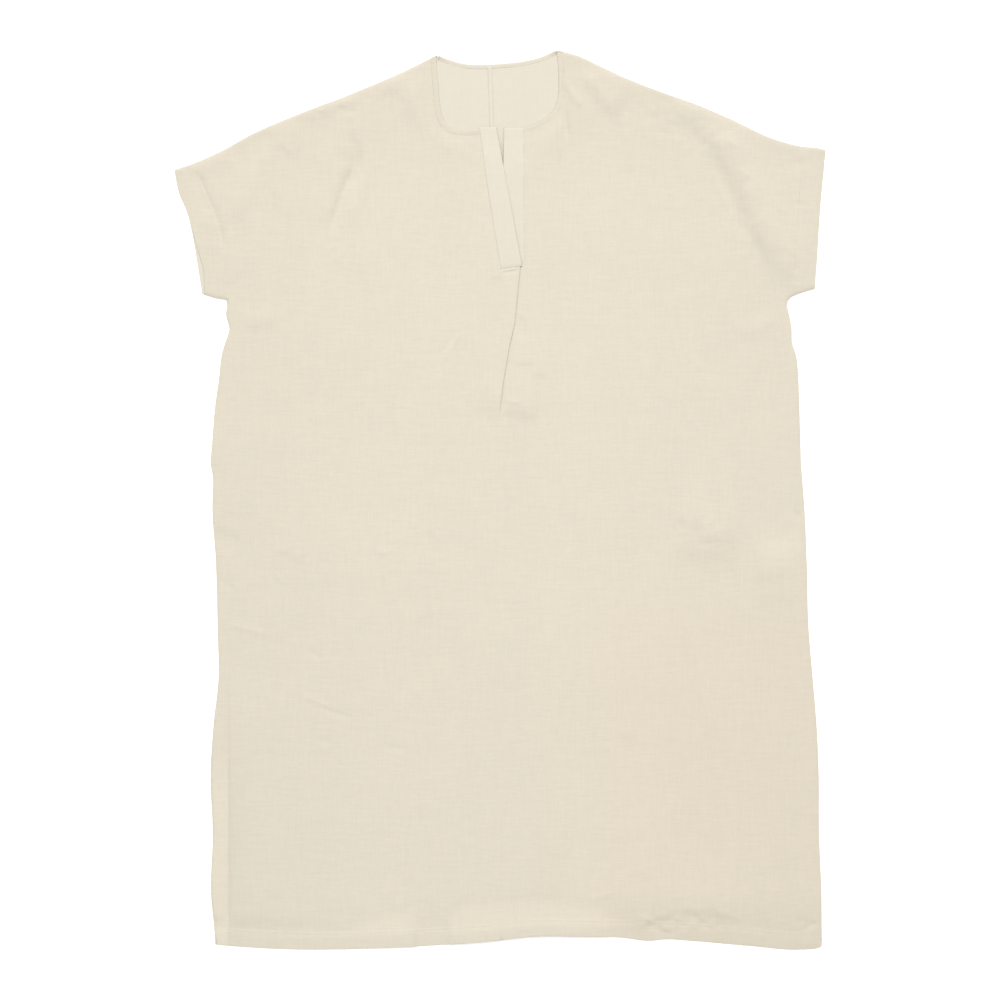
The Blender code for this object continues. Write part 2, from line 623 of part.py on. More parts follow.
def binding_mesh(path, width, foot, left_of_path):
    """A bound edge: a lip in front of the panel's cut edge and a leg that lies on the panel."""
    leg = WALL + LAYER_GAP
    top = leg + WALL
    low = top - BINDING_ROUND
    section = [(0.0, 0.0), (WALL, 0.0), (WALL, leg), (width, leg), (width, low),
               (width - BINDING_ROUND, top), (BINDING_ROUND, top), (0.0, low)]
    side = 1.0 if left_of_path else -1.0
    rings = [binding_row(path, side * inset) for inset, _ in section]
    levels = [foot(ring) + height for ring, (_, height) in zip(rings, section)]
    count = len(path)
    vertices = []
    for ring, level in zip(rings, levels):
        vertices += [tuple(p) for p in np.column_stack([ring, level])]
    faces = []
    for part in range(len(section)):
        following = (part + 1) % len(section)
        for i in range(count - 1):
            a, b = part * count + i, part * count + i + 1
            c, d = following * count + i + 1, following * count + i
            faces += [(a, b, c), (a, c, d)]
    faces.append(tuple(part * count for part in range(len(section))))
    faces.append(tuple(part * count + count - 1 for part in reversed(range(len(section)))))
    if left_of_path:
        faces = [tuple(reversed(face)) for face in faces]
    return np.array(vertices), faces


def front_foot(left):
    """Level of the front's lower face, for what is bound round its edge."""
    return lambda points: front_top(points, left) - WALL


def back_foot(points):
    return np.zeros(len(points))


def over_level(points):
    return front_top(points, True) + LAYER_GAP


def under_level(points):
    return front_top(points, False) - WALL


def cloth_material(name, colour):
    material = bpy.data.materials.new(name)
    material.use_nodes = True
    shader = material.node_tree.nodes["Principled BSDF"]
    shader.inputs["Base Color"].default_value = colour
    shader.inputs["Roughness"].default_value = CLOTH_ROUGHNESS
    shader.inputs["Metallic"].default_value = 0.0
    return material


def add_piece(name, shape, colour, parent):
    """One named object with its own material."""
    vertices, faces = shape
    mesh = bpy.data.meshes.new(name)
    mesh.from_pydata([tuple(float(c) * MM for c in v) for v in vertices], [], faces)
    mesh.validate()
    mesh.shade_smooth()
    mesh.set_sharp_from_angle(angle=math.radians(40.0))
    mesh.materials.append(cloth_material(name + "_linen", colour))
    piece = bpy.data.objects.new(name, mesh)
    piece.parent = parent
    bpy.context.scene.collection.objects.link(piece)
    return piece


def build():
    for old in list(bpy.data.objects):
        bpy.data.objects.remove(old, do_unlink=True)
    garment = bpy.data.objects.new("poncho", None)
    bpy.context.scene.collection.objects.link(garment)

    back_left, back_right = back_meshes()
    add_piece("back_left", back_left, CREAM, garment)
    add_piece("back_right", back_right, CREAM, garment)
    add_piece("front", front_mesh(), CREAM, garment)
    add_piece("placket_over", strip_mesh(OVER_STRIP, over_level, WALL), PALE_CREAM, garment)
    add_piece("placket_under", strip_mesh(UNDER_STRIP, under_level, WALL), PALE_CREAM, garment)

    left = binding_mesh(NECK_L, FRONT_BINDING_WIDTH, front_foot(True), False)
    right = binding_mesh(NECK_R, FRONT_BINDING_WIDTH, front_foot(False), True)
    back = binding_mesh(between_shoulders(NECK_B), BACK_BINDING_WIDTH, back_foot, True)
    add_piece("neck_binding_left", left, PALE_CREAM, garment)
    add_piece("neck_binding_right", right, PALE_CREAM, garment)
    add_piece("neck_binding_back", back, PALE_CREAM, garment)


build()
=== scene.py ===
# Cream linen pullover dress, laid flat with its front up.
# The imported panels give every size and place. This script dresses them with cloth, thread and
# light. Sizes are in millimetres from the middle of the dress, and metres in the meshes.

import math
from functools import partial

import bpy
import numpy as np
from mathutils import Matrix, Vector, kdtree, noise
from mathutils.geometry import delaunay_2d_cdt


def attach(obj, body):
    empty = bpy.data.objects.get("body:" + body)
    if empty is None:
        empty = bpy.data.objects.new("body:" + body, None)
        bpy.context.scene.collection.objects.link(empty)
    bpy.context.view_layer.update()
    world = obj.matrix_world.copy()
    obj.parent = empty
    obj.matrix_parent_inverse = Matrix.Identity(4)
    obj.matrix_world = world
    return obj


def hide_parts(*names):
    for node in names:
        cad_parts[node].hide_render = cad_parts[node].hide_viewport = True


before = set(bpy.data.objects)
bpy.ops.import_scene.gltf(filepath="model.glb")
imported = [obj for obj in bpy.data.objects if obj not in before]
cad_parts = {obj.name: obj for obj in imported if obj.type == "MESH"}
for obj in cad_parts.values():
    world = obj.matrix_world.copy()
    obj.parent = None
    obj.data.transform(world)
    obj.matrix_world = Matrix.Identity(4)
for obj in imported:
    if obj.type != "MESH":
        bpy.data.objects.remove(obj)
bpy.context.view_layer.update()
mm = 0.001

cloth = {
    "thick": 0.7,          # one layer of linen
    "frontMiddle": 2.15,   # middle of the front's layer where it lies flat
    "backMiddle": 0.5,     # middle of the back's layer
    "edgeStep": 3.4,       # spacing of points along the edges
    "neckStep": 2.4,       # and along the neckline
    "edgeInset": 1.55,     # a panel's cut edge lies this far inside its binding
    "hemDepth": 20.0,
    "cuffDepth": 28.0,
    "chunk": 3000,         # points that are measured at a time
}
half = cloth["thick"] / 2

# The cut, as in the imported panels
outline = {
    "backNeck": [
        (68.2, 539.8), (62.2, 537.4), (45.4, 530.8), (28.6, 526.9), (0, 523.8), (-21.8, 522.7),
        (-42, 523.6), (-59, 528), (-75.8, 533.8),
    ],
    "leftShoulder": [
        (-75.8, 533.8), (-107, 518), (-173, 489.2), (-247, 460.6), (-300, 437.5), (-336, 417.5),
        (-369.8, 403), (-390.8, 395.8),
    ],
    "leftCuff": [
        (-390.8, 395.8), (-385.8, 370), (-375.8, 346), (-370, 322), (-364.5, 290), (-357.6, 247),
    ],
    "leftUnderarm": [(-357.6, 247), (-343, 243.2), (-328.7, 240.5)],
    "leftCuffFront": [
        (-390.8, 395.8), (-385.8, 370), (-375.8, 346), (-369.8, 325), (-364.9, 308), (-360.8, 294),
        (-356.2, 278), (-354.8, 262), (-354.6, 246.4),
    ],
    "leftUnderarmFront": [(-354.6, 246.4), (-342.6, 242.6), (-328.7, 240.3)],
    "sides": [   # height, left side, right side
        (232.6, -327.5, 343.8), (225, -329, 346), (204, -325, 349.7), (189, -329.9, 350.2),
        (175, -333.8, 354.6), (146, -337.4, 357.7), (117, -341.5, 358.8), (60, -346.3, 360.5),
        (45, -347.6, 360.9), (31, -345.2, 361.9), (-12, -345.4, 365.2), (-70, -341.4, 367.7),
        (-156, -339, 370.2), (-214, -338, 375), (-271, -344, 379.7), (-329, -347.5, 382.2),
        (-401, -344.9, 382.6), (-473, -347, 385.5), (-516, -343, 385.8),
    ],
    "hem": [
        (-341.6, -533.6), (-307, -536.4), (-223, -539.6), (-156, -537.9), (-89, -535), (-22, -530),
        (48, -523.2), (96, -523.9), (146, -525.2), (180, -529), (199, -527.2), (232, -529.2),
        (297, -534.8), (364, -539.4), (380, -537.9), (385.2, -536), (386, -530),
    ],
    "rightUnderarm": [(345, 238.6), (348.5, 243), (357, 247), (377.4, 253.5)],
    "rightCuff": [
        (377.4, 253.5), (380.6, 297), (382.8, 335), (385.6, 370), (388.6, 400), (390.2, 419.8),
    ],
    "rightShoulder": [
        (390.2, 419.8), (380, 422.2), (362, 423.8), (331, 431.8), (281, 454.6), (247, 469.6),
        (180, 494.2), (146, 508), (112.6, 523.6), (95.8, 531.6), (68.2, 539.8),
    ],
    "leftNeckline": [
        (-75.8, 533), (-76.2, 522), (-74.6, 503.8), (-71.4, 470), (-68.6, 458.2), (-63.4, 449.8),
        (-56, 446), (-42.8, 444.6), (-24.6, 446), (-22, 446.4),
    ],
    "rightNeckline": [
        (67.6, 538.2), (69.2, 524), (70, 509.8), (68.4, 480), (63, 467), (53.8, 458), (41.8, 451.4),
        (28, 447.4), (25.6, 446.9),
    ],
}


# Curves and distances

def smoothStep(value):   # 0 below 0, 1 above 1, a soft climb between
    limited = np.clip(value, 0.0, 1.0)
    return limited * limited * (3.0 - 2.0 * limited)


def climb(value, start, end):   # 0 before the start, 1 after the end
    return smoothStep((value - start) / (end - start))


def bell(gap, width):   # 1 on a line, falling softly beside it
    return np.exp(-((gap / width) ** 2))


def fadeEnds(along, start, end):   # 0 at both ends of a line, 1 between
    return smoothStep(along / start) * smoothStep((1.0 - along) / end)


def chordLengths(line):
    return np.linalg.norm(np.diff(line, axis=0), axis=1)


def runs(line):   # how far along the line each of its points is
    return np.concatenate([[0.0], np.cumsum(chordLengths(line))])


def smoothLine(points, spacing):   # a curve through the points
    knots = np.array(points, dtype=float)
    slopes = np.gradient(knots, runs(knots), axis=0)
    line = []
    for index, chord in enumerate(chordLengths(knots)):
        steps = max(1, round(chord / spacing))
        start, end = knots[index], knots[index + 1]
        leanIn, leanOut = slopes[index] * chord, slopes[index + 1] * chord
        for t in np.arange(steps) / steps:
            line.append((2 * t**3 - 3 * t**2 + 1) * start + (t**3 - 2 * t**2 + t) * leanIn
                        + (3 * t**2 - 2 * t**3) * end + (t**3 - t**2) * leanOut)
    line.append(knots[-1])
    return np.array(line)


def shiftLine(line, distance):   # to the left of the line's direction
    along = np.gradient(line, axis=0)
    along /= np.linalg.norm(along, axis=1)[:, None]
    return line + distance * np.column_stack([-along[:, 1], along[:, 0]])


def evenLine(line, spacing):   # the same line with points at even steps
    at = runs(line)
    places = np.linspace(0.0, at[-1], max(2, round(at[-1] / spacing) + 1))
    return np.column_stack([np.interp(places, at, column) for column in line.T])


def lineGap(points, line):   # distance to a line, and the share of its length at the nearest spot
    starts, spans = line[:-1], np.diff(line, axis=0)
    lengths, at = chordLengths(line), runs(line)
    gaps, shares = [], []
    for first in range(0, len(points), cloth["chunk"]):
        offsets = points[first:first + cloth["chunk"], None, :] - starts[None, :, :]
        share = np.clip((offsets * spans).sum(axis=2) / lengths**2, 0.0, 1.0)
        gap = np.linalg.norm(offsets - share[:, :, None] * spans, axis=2)
        nearest = gap.argmin(axis=1)
        every = np.arange(len(gap))
        gaps.append(gap[every, nearest])
        shares.append((at[nearest] + share[every, nearest] * lengths[nearest]) / at[-1])
    return np.concatenate(gaps), np.concatenate(shares)


def gapTo(points, *lines):   # distance to the nearest of the lines
    return np.min([lineGap(points, line)[0] for line in lines], axis=0)


def insideLoop(points, loop):
    found = np.zeros(len(points), dtype=bool)
    for (x1, y1), (x2, y2) in zip(loop, np.roll(loop, -1, axis=0)):
        if y1 != y2:
            crosses = (y1 > points[:, 1]) != (y2 > points[:, 1])
            at = x1 + (points[:, 1] - y1) * (x2 - x1) / (y2 - y1)
            found ^= crosses & (points[:, 0] < at)
    return found


def noiseField(points, sizeX, sizeY, seed):   # soft random heights from -1 to 1
    return np.array([noise.noise(Vector((x / sizeX, y / sizeY, seed))) for x, y in points])


def edgeLine(name, spacing=cloth["edgeStep"]):
    if name in ("left", "right"):
        column = 1 if name == "left" else 2
        return smoothLine([(row[column], row[0]) for row in outline["sides"]], spacing)
    return smoothLine(outline[name], spacing)


def roundTheEdge(face, spacing=cloth["edgeStep"]):   # counter-clockwise from the neck's left
    line = edgeLine("leftShoulder", spacing)
    for name in ("leftCuff" + face, "leftUnderarm" + face, "left", "hem", "right", "rightUnderarm",
                 "rightCuff", "rightShoulder"):
        following = edgeLine(name, spacing)[::-1 if name == "right" else 1]
        meets = np.linalg.norm(following[0] - line[-1]) < 0.3
        line = np.concatenate([line, following[1:] if meets else following])
    return line


frontOutline = roundTheEdge("Front")
backOutline = roundTheEdge("")
coarseOutline = roundTheEdge("Front", 12.0)
hemLine = edgeLine("hem")
neckLeft, neckRight, neckBack = [edgeLine(name, cloth["neckStep"])
                                 for name in ("leftNeckline", "rightNeckline", "backNeck")]
shoulderSeam = np.concatenate([edgeLine("leftShoulder")[::-1], edgeLine("rightShoulder")[::-1]])
print("outline drawn")


# Form of the front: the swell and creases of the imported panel, and finer ones

frontPanel = {
    "swell": 1.5,
    "swellWave": 0.5,
    "swellLengths": (61.0, 97.0, 83.0, 140.0),
    "swellFade": 60.0,     # the swell dies out this far inside the outline
    "foldFade": 24.0,      # and the folds this far
    "fineFade": 8.0,
    "taper": 0.3,          # share of a crease over which each end fades
    "grid": 5.7,           # spacing of points inside the panel
    "gridCorners": ((-392.0, -542.0), (392.0, 542.0)),
    "hemRise": 0.5,        # a turned hem stands this much above the panel
    "hemDrop": 0.25,       # and this much below it
    # rows of points beside the hem's inner edge
    "hemRows": (-3.4, -2.5, -1.7, -0.9, 0.0, 0.9, 2.2),
    "stitchInset": 1.7,    # stitch line, from the turned edge of the hem
    "stitchGroove": 0.32,
    "pucker": 0.1,         # waves that the stitches draw into the hem
    "seamRoll": 2.2,       # width over which the cloth rolls down to a seam
    "seamDrop": 0.85,
    "hemSag": 0.3,         # how far the open edges sink towards the back
    "hemSagReach": 9.0,
    "restHeight": 1.32,    # middle of the cloth where it lies on the back
    "neckReach": 26.0,     # the neckline lies on the back, and the cloth leaves it over this width
    "slitMiddle": 5.0,
    "slitHalf": 60.0,
    "slitReach": 34.0,     # added beside the slit
    "shoulderRise": 0.8,   # the shoulder seam stands up a little and the cloth falls from it
    "shoulderFall": 7.0,
    "ripples": [(0.3, 24, 150, 4.2), (0.15, 90, 22, 9.7)],   # height, size across and along, seed
    "crumple": 0.75,       # height of the crumples at the shoulders
    "crumpleNoise": (30, 42, 1.3),
    "patchNoise": (120, 120, 7.1),   # where the crumples are
    "shoulderNoise": (34, 34, 5.5),
    # x1, y1, x2, y2, x3, y3, width, height
    "folds": [
        (240, 464, 286, 402, 346, 268, 16, 3.6), (96, 515, 122, 488, 141, 455, 8, 1.2),
        (80, 502, 85, 465, 90, 425, 6, 1.2), (60, 455, 59, 430, 56, 408, 2.8, 0.9),
        (69.5, 462, 70.5, 435, 72, 402, 2.8, 1.1), (47, 444, 41, 433, 34, 424, 2.8, 0.8),
        (-66, 444, -64, 430, -62, 414, 2.8, 0.9), (-77, 462, -77, 446, -76, 430, 2.8, 0.8),
        (-45, 437, -36, 430, -28, 422, 2.8, 0.8), (-88, 510, -104, 490, -112, 456, 11, 1.5),
        (-168, 440, -162, 400, -188, 320, 9, 1.3), (-262, 430, -292, 396, -318, 330, 13, 1.6),
        (-318, 222, -292, 214, -262, 224, 8, 1), (336, 224, 306, 206, 274, 208, 9, 1.1),
        (300, -88, 330, -84, 364, -74, 13, 1.7), (-334, -148, -306, -154, -276, -164, 2.8, 0.6),
        (-232, -178, -222, -186, -212, -194, 2.8, -0.5),
        (-244, -236, -222, -241, -200, -252, 2.4, 0.55),
        (-216, -248, -196, -256, -174, -263, 2.4, -0.55),
        (-220, -288, -210, -290, -200, -292, 2.6, -0.5), (-150, -60, -138, -63, -126, -58, 2.6, 0.5),
    ],
    # ridges above 0 and troughs below it
    "smallCreases": [
        (246, 430, 270, 386, 290, 328, 7.5, -0.9), (276, 366, 302, 316, 348, 248, 8.5, -0.8),
        (254, 392, 268, 362, 280, 330, 3, 0.4), (74.8, 509.8, 86, 488, 102.4, 466.6, 3.6, 1.4),
        (74.8, 500, 77, 466, 82, 428, 3.2, -2), (138, 458, 141, 444, 141, 424, 3.2, -0.9),
        (263, 434, 275, 428, 286, 421, 2.6, 0.5), (284, 396, 292, 392, 301, 384, 2.6, 0.5),
        (145, 471, 160, 462, 172, 452, 3.6, -0.5), (184, 448, 198, 440, 208, 430, 3.4, -0.5),
        (200, 436, 212, 431, 224, 432, 3, 0.4), (155, 420, 158, 396, 156, 372, 3.4, -0.5),
        (185, 416, 187, 392, 184, 366, 3.4, -0.5), (212, 410, 213, 380, 210, 344, 3.4, -0.5),
        (352, 356, 360, 355, 367, 353, 2.2, -0.4), (262, 442, 282, 426, 300, 402, 9, 1.3),
        (320, 364, 333, 354, 345, 341, 5, 0.8), (346, 300, 352, 284, 356, 268, 3, -0.7),
        (-184, 446, -171, 410, -186, 370, 7, -3.6), (-178, 398, -193, 358, -205, 318, 4.6, -2.6),
        (-262, 424, -250, 420, -240, 422, 2.6, 0.4), (-240, 470, -222, 464, -206, 466, 3, -0.6),
        (-196, 474, -184, 466, -170, 466, 3, -0.6), (-370, 396, -361, 377, -348, 342, 4.6, -3.6),
        (-349, 364, -339, 334, -332, 298, 3.4, -1.7), (-320, 346, -322, 330, -320, 316, 3, -0.5),
        (-42.7, 205.4, -56, 186, -68.6, 162, 2.6, 0.6), (-50, 206, -64, 186, -76, 166, 2.6, -0.4),
        (-2, 232, -1.5, 196, -2.5, 160, 2.4, -0.7), (-15, 137, -19, 112, -20, 90, 3.2, -1),
        (26, 222, 26, 208, 28, 190, 4, -1.6), (0, 274.4, 12, 275.8, 23, 277.6, 1.3, 0.4),
        (1, 272.2, 13, 273.8, 24, 275.4, 1.1, -0.5), (6, 118, 16, 117, 26, 118, 1.8, 0.5),
        (-50, -148, -51, -190, -48, -244, 5, -1), (-88, -34, -83, -52, -80, -72, 4.5, -0.9),
        (-270, -86, -265, -94, -259, -101, 1.8, 0.45), (-346, -40, -332, -48, -314, -53, 7, -5),
        (-338, -96, -328, -102, -318, -108, 3.4, -0.5), (-140, -296, -126, -298, -112, -299, 2.4, -0.4),
        (350, -14, 358, -19, 367, -21, 4, -1.2), (298, -114, 330, -110, 364, -100, 15, 1),
        (168, -496, 180, -505, 196, -509, 2.8, 0.6), (200, -493, 213, -502, 226, -511, 2.8, 0.6),
        (236, -498, 250, -508, 262, -519, 2.8, 0.6), (182, -514, 196, -519, 214, -518, 2.6, -0.6),
        (262, -492, 276, -499, 292, -502, 2.8, 0.5), (104, -483, 120, -476, 138, -470, 3, 0.45),
        (362, -518, 370, -512, 380, -508, 3, -0.7), (374, -316, 377, -410, 377, -505, 2.4, -0.8),
        (368, -330, 370, -410, 371, -500, 2.2, -0.5),
    ],
    # the cloth left of the line, seen from its first point, lies higher
    "steps": [
        (192, 470, 235, 449, 265, 403, 8.5, 3.2), (246, 433, 274, 384, 297, 331, 8.5, 3.2),
        (281, 366, 305, 314, 352, 242, 9.5, 3.4), (95, 522, 110, 492, 138, 455, 7.5, 3),
        (-150, 491, -124, 487, -100, 490, 9, 2.4), (-200, 418, -181, 416, -160, 411, 6, 2.4),
        (-206, 318, -192, 362, -168, 420, 8, 1.8), (-242, 450, -200, 466, -158, 481, 8, 1.8),
        (-366, 384, -340, 396, -312, 404, 8, 1.4), (-278, 422, -254, 424, -230, 430, 9, 2.2),
        (204, -22, 224, -27, 248, -30, 9, 2.2), (228, -42, 256, -48, 290, -46, 10, 2.6),
        (364, -48, 334, -57, 302, -58, 10, 4.2), (196, -54, 240, -68, 296, -72, 15, 3.4),
        (-274, -64, -254, -67, -232, -70, 7, 1.1), (142, -280, 153, -284, 166, -286, 4, 0.8),
        (158, -522, 178, -508, 214, -494, 4.5, 1.8), (204, -490, 250, -498, 292, -500, 6, 2),
        (0, 105, 24, 102, 50, 100, 9, 3), (-14, 267, -4, 266, 6, 267, 4, 0.9),
        (17, 161, 30, 163, 44, 162, 3, 0.8), (36, 150, 47, 149, 58, 148, 4, 1),
    ],
    # crumpled spots: middle x, middle y, half width, half length, height
    "mottles": [
        (250, 434, 34, 28, 0.9), (296, 336, 28, 70, 0.8), (192, 464, 44, 24, 0.9),
        (352, 395, 30, 30, 0.5), (-195, 472, 52, 20, 1), (-252, 424, 30, 20, 0.8),
        (-118, 482, 26, 22, 0.8), (-197, 301, 20, 16, 1), (245, -38, 48, 26, 0.8),
        (-252, -68, 26, 16, 0.7), (220, -506, 74, 22, 1.3), (365, -512, 22, 24, 0.9),
        (20, 98, 34, 20, 0.6),
    ],
    "mottleSize": 9.0,
    "mottleGrid": 3.0,
    # lifts of the hem's edge: slope, distance from the hem where the slope ends, x and reach
    "hemLifts": [
        (0.15, 12, [(-70, 0), (-60, 32), (-43, 45), (32, 42.5), (91, 37), (126, 29), (142, 0)]),
        (0.14, 17, [(-206, 14), (-160, 30), (-103, 44), (-96, 0)]),
    ],
    "hemHollow": 0.2,      # the cloth dips above the lifted edge
    "hemHollowFade": 9.0,
}
frontHems = [(hemLine, cloth["hemDepth"])]
frontHems += [(edgeLine(name), cloth["cuffDepth"]) for name in ("leftCuffFront", "rightCuff")]

# Side seam that rolls onto the front at the lower left
sideSeam = {
    "line": [(-330, -205), (-327.5, -260), (-326.6, -330), (-326, -420), (-325.6, -480), (-327, -512)],
    "groove": 0.7,
    "grooveWidth": 1.7,
    "roll": 2.4,           # height of the rolled strip's outer side
    "rollWidth": 17.0,
    "climb": 2.0,          # the cloth climbs again on the other side of the seam
    "climbWidth": 8.0,
    "climbEnd": 70.0,
    "corner": (-200.0, -190.0),   # all of it is left of and below this place
}
seamLine = smoothLine(sideSeam["line"], cloth["edgeStep"])


def creaseLine(row):
    return smoothLine([row[0:2], row[2:4], row[4:6]], max(2.2, row[6] * 0.8))


def creaseHeights(points, rows, stepped=False):
    height = np.zeros(len(points))
    for row in rows:
        width, rise = row[6:]
        line = creaseLine(row)
        reach = (30 if stepped else 3) * width
        low, high = line.min(axis=0) - reach, line.max(axis=0) + reach
        near = np.all((points > low) & (points < high), axis=1)
        if not near.any():
            continue
        gap, along = lineGap(points[near], line)
        profile = bell(gap, width)
        if stepped:
            isLeft = gapTo(points[near], shiftLine(line, 0.05)) < gap
            side = np.where(isLeft, gap, -gap)
            profile = 0.5 + 0.5 * np.tanh(1.2 * side / width)
            profile *= np.exp(-np.clip(side, 0, None) / (7 * width))
        height[near] += rise * fadeEnds(along, frontPanel["taper"], frontPanel["taper"]) * profile
    return height


def relief(points):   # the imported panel's swell and folds
    toEdge = gapTo(points, coarseOutline)
    x, y = points.T
    a, b, c, d = frontPanel["swellLengths"]
    waves = np.sin(x / a + y / b) * np.sin(y / c - x / d)
    height = frontPanel["swell"] + frontPanel["swellWave"] * waves
    height = height * smoothStep(toEdge / frontPanel["swellFade"])
    folds = creaseHeights(points, frontPanel["folds"])
    return height + folds * smoothStep(toEdge / frontPanel["foldFade"]), toEdge


def spotReach(points, spot):   # 0 in the spot's middle, 1 at its rim
    x, y, halfX, halfY, _ = spot
    return np.hypot((points[:, 0] - x) / halfX, (points[:, 1] - y) / halfY)


def mottling(points):   # small crumples in the spots that the table gives
    height = np.zeros(len(points))
    size = frontPanel["mottleSize"]
    for spot in frontPanel["mottles"]:
        away = spotReach(points, spot)
        near = away < 1.0
        if near.any():
            crumple = noiseField(points[near], size, 1.2 * size, 3.7)
            height[near] += spot[4] * smoothStep(1.6 * (1.0 - away[near])) * crumple
    return height


def fineRelief(points, toEdge):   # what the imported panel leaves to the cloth
    height = creaseHeights(points, frontPanel["smallCreases"])
    height = height + creaseHeights(points, frontPanel["steps"], stepped=True) + mottling(points)
    for rise, *ripple in frontPanel["ripples"]:
        height = height + rise * noiseField(points, *ripple)
    ridges = 1.0 - np.abs(noiseField(points, *frontPanel["crumpleNoise"])) * 2.4
    patches = smoothStep(noiseField(points, *frontPanel["patchNoise"]) + 0.35)
    upper = 0.3 + 0.7 * climb(points[:, 1], 200.0, 420.0)
    height = height + frontPanel["crumple"] * upper * patches * np.clip(ridges, 0.0, 1.0) ** 2
    return height * smoothStep(toEdge / frontPanel["fineFade"])


def edgeRelief(points):   # how the cloth stands at the shoulder seams and lifts at the hem
    shoulderGap = gapTo(points, edgeLine("leftShoulder", 12.0), edgeLine("rightShoulder", 12.0))
    uneven = np.clip(0.5 + noiseField(points, *frontPanel["shoulderNoise"]), 0.0, 1.0)
    height = frontPanel["shoulderRise"] * (0.3 + 1.4 * uneven)
    height = height * np.exp(-shoulderGap / frontPanel["shoulderFall"])
    hemGap = gapTo(points, hemLine)
    for slope, foot, reaches in frontPanel["hemLifts"]:
        reach = np.interp(points[:, 0], *np.array(reaches).T)
        reach[(points[:, 0] <= reaches[0][0]) | (points[:, 0] >= reaches[-1][0])] = 0.0
        lift = np.clip(np.minimum(reach - hemGap, reach - foot), 0.0, None)
        hollow = frontPanel["hemHollow"] * smoothStep((reach - foot) / 12.0)
        hollow = hollow * bell(np.clip(hemGap - reach, 0.0, None), frontPanel["hemHollowFade"])
        height = height + slope * lift - hollow
    return height


def neckShare(points):   # 1 where the neckline lies on the back, 0 where the cloth is free
    aside = np.abs(points[:, 0] - frontPanel["slitMiddle"])
    reach = frontPanel["slitReach"] * smoothStep(1.0 - aside / frontPanel["slitHalf"])
    return 1.0 - smoothStep(gapTo(points, neckLeft, neckRight) / (frontPanel["neckReach"] + reach))


def sideSeamHeight(points):   # the rolled strip, its seam and the cloth that climbs from it
    near = np.all(points < sideSeam["corner"], axis=1)
    height = np.zeros(len(points))
    if near.any():
        spots = points[near]
        gap, along = lineGap(spots, seamLine)
        side = spots[:, 0] - np.interp(spots[:, 1], seamLine[::-1, 1], seamLine[::-1, 0])
        groove = sideSeam["groove"] * bell(gap, sideSeam["grooveWidth"])
        roll = sideSeam["roll"] * smoothStep(-side / sideSeam["rollWidth"])
        right = np.clip(side, 0.0, None)
        beyond = sideSeam["climb"] * (1.0 - np.exp(-right / sideSeam["climbWidth"]))
        beyond = beyond * np.exp(-right / sideSeam["climbEnd"])
        height[near] = fadeEnds(along, 0.2, 0.05) * (roll + beyond - groove)
    return height


def clothRise(points):   # height of the front over its flat middle
    lifted, toEdge = relief(points)
    fine = fineRelief(points, toEdge)
    toSeam = gapTo(points, frontOutline)
    lifted = lifted + edgeRelief(points) + sideSeamHeight(points) * smoothStep(toSeam / 1.6)
    laid = neckShare(points)
    lowest = cloth["frontMiddle"] - frontPanel["restHeight"]
    return lifted * (1.0 - laid) + fine * (1.0 - 0.6 * laid) - laid * lowest


def hemShape(points, hems):   # share of the raised band, of its stitch groove, and the pucker
    band, groove, pucker = np.zeros((3, len(points)))
    for line, depth in hems:
        gap, along = lineGap(points, line)
        band = np.maximum(band, smoothStep((depth + 0.9 - gap) / 1.8))
        toStitch = gap - (depth - frontPanel["stitchInset"])
        groove = np.maximum(groove, bell(toStitch, 1.1))
        run = along * len(line) * cloth["edgeStep"]
        wave = np.sin(run / 2.3 + 1.7 * np.sin(run / 19.0)) + 0.6 * np.sin(run / 5.1 + 0.8)
        pucker += frontPanel["pucker"] * wave * bell(toStitch, 6.0)
    return band, groove, pucker


# The knife pleat below the placket

pleat = {
    "top": 287.8,
    "end": 90.0,           # where the fold has opened flat
    "opening": 150.0,      # below this height the fold turns flat
    "overlap": 24.0,
    "leastOverlap": 0.6,
    "leastTurn": 1e-4,
    "radius": 0.5,
    "inward": 1.375,       # from the fold's outer edge to where its bend starts
    "band": 6.0,           # width of each part of the fold in the flat layout
    "swell": 0.5,          # the lower layer swells up beside the fold's edge
    "swellStart": 1.1,
    "swellReach": 14.0,
    "swellEnds": (108.0, 138.0),
    "edge": [(25.6, 287.8), (21.9, 251.8), (17.6, 209.8), (12.0, 185.8), (7.8, 161.8),
             (3.8, 137.8), (-1.6, 97.0)],
    "liftSpan": 48.0,
    "liftMargin": 4.0,
    "liftEnd": 440.0,
    "rows": 44,
}


def pleatEdgeX(y):
    xs, ys = np.array(pleat["edge"][::-1]).T
    return np.interp(y, ys, xs)


def pleatRow(y):   # where the fold starts and ends, its overlap, turn, radius and drop
    y = np.clip(y, pleat["end"], pleat["top"])
    full = np.clip((y - pleat["opening"]) / (pleat["top"] - pleat["opening"]), 0.0, 1.0)
    overlap = pleat["leastOverlap"] + (pleat["overlap"] - pleat["leastOverlap"]) * full
    turn = math.pi * climb(y, pleat["end"], pleat["opening"])
    turn = np.maximum(turn, pleat["leastTurn"])
    radius = math.pi * pleat["radius"] / turn
    start = pleatEdgeX(y) - pleat["inward"]
    end = start + 2 * radius * np.sin(turn) + overlap * np.cos(turn)
    drop = 2 * radius * (1 - np.cos(turn)) + overlap * np.sin(turn)
    return start, end, overlap, turn, radius, drop


def leftLift(points):   # how far the cloth left of the pleat is raised to lie over it
    x, y = points.T
    _, end, _, _, _, drop = pleatRow(y)
    near = smoothStep((x - (end - pleat["liftMargin"] - pleat["liftSpan"])) / pleat["liftSpan"])
    return drop * near * (1.0 - climb(y, pleat["top"], pleat["liftEnd"]))


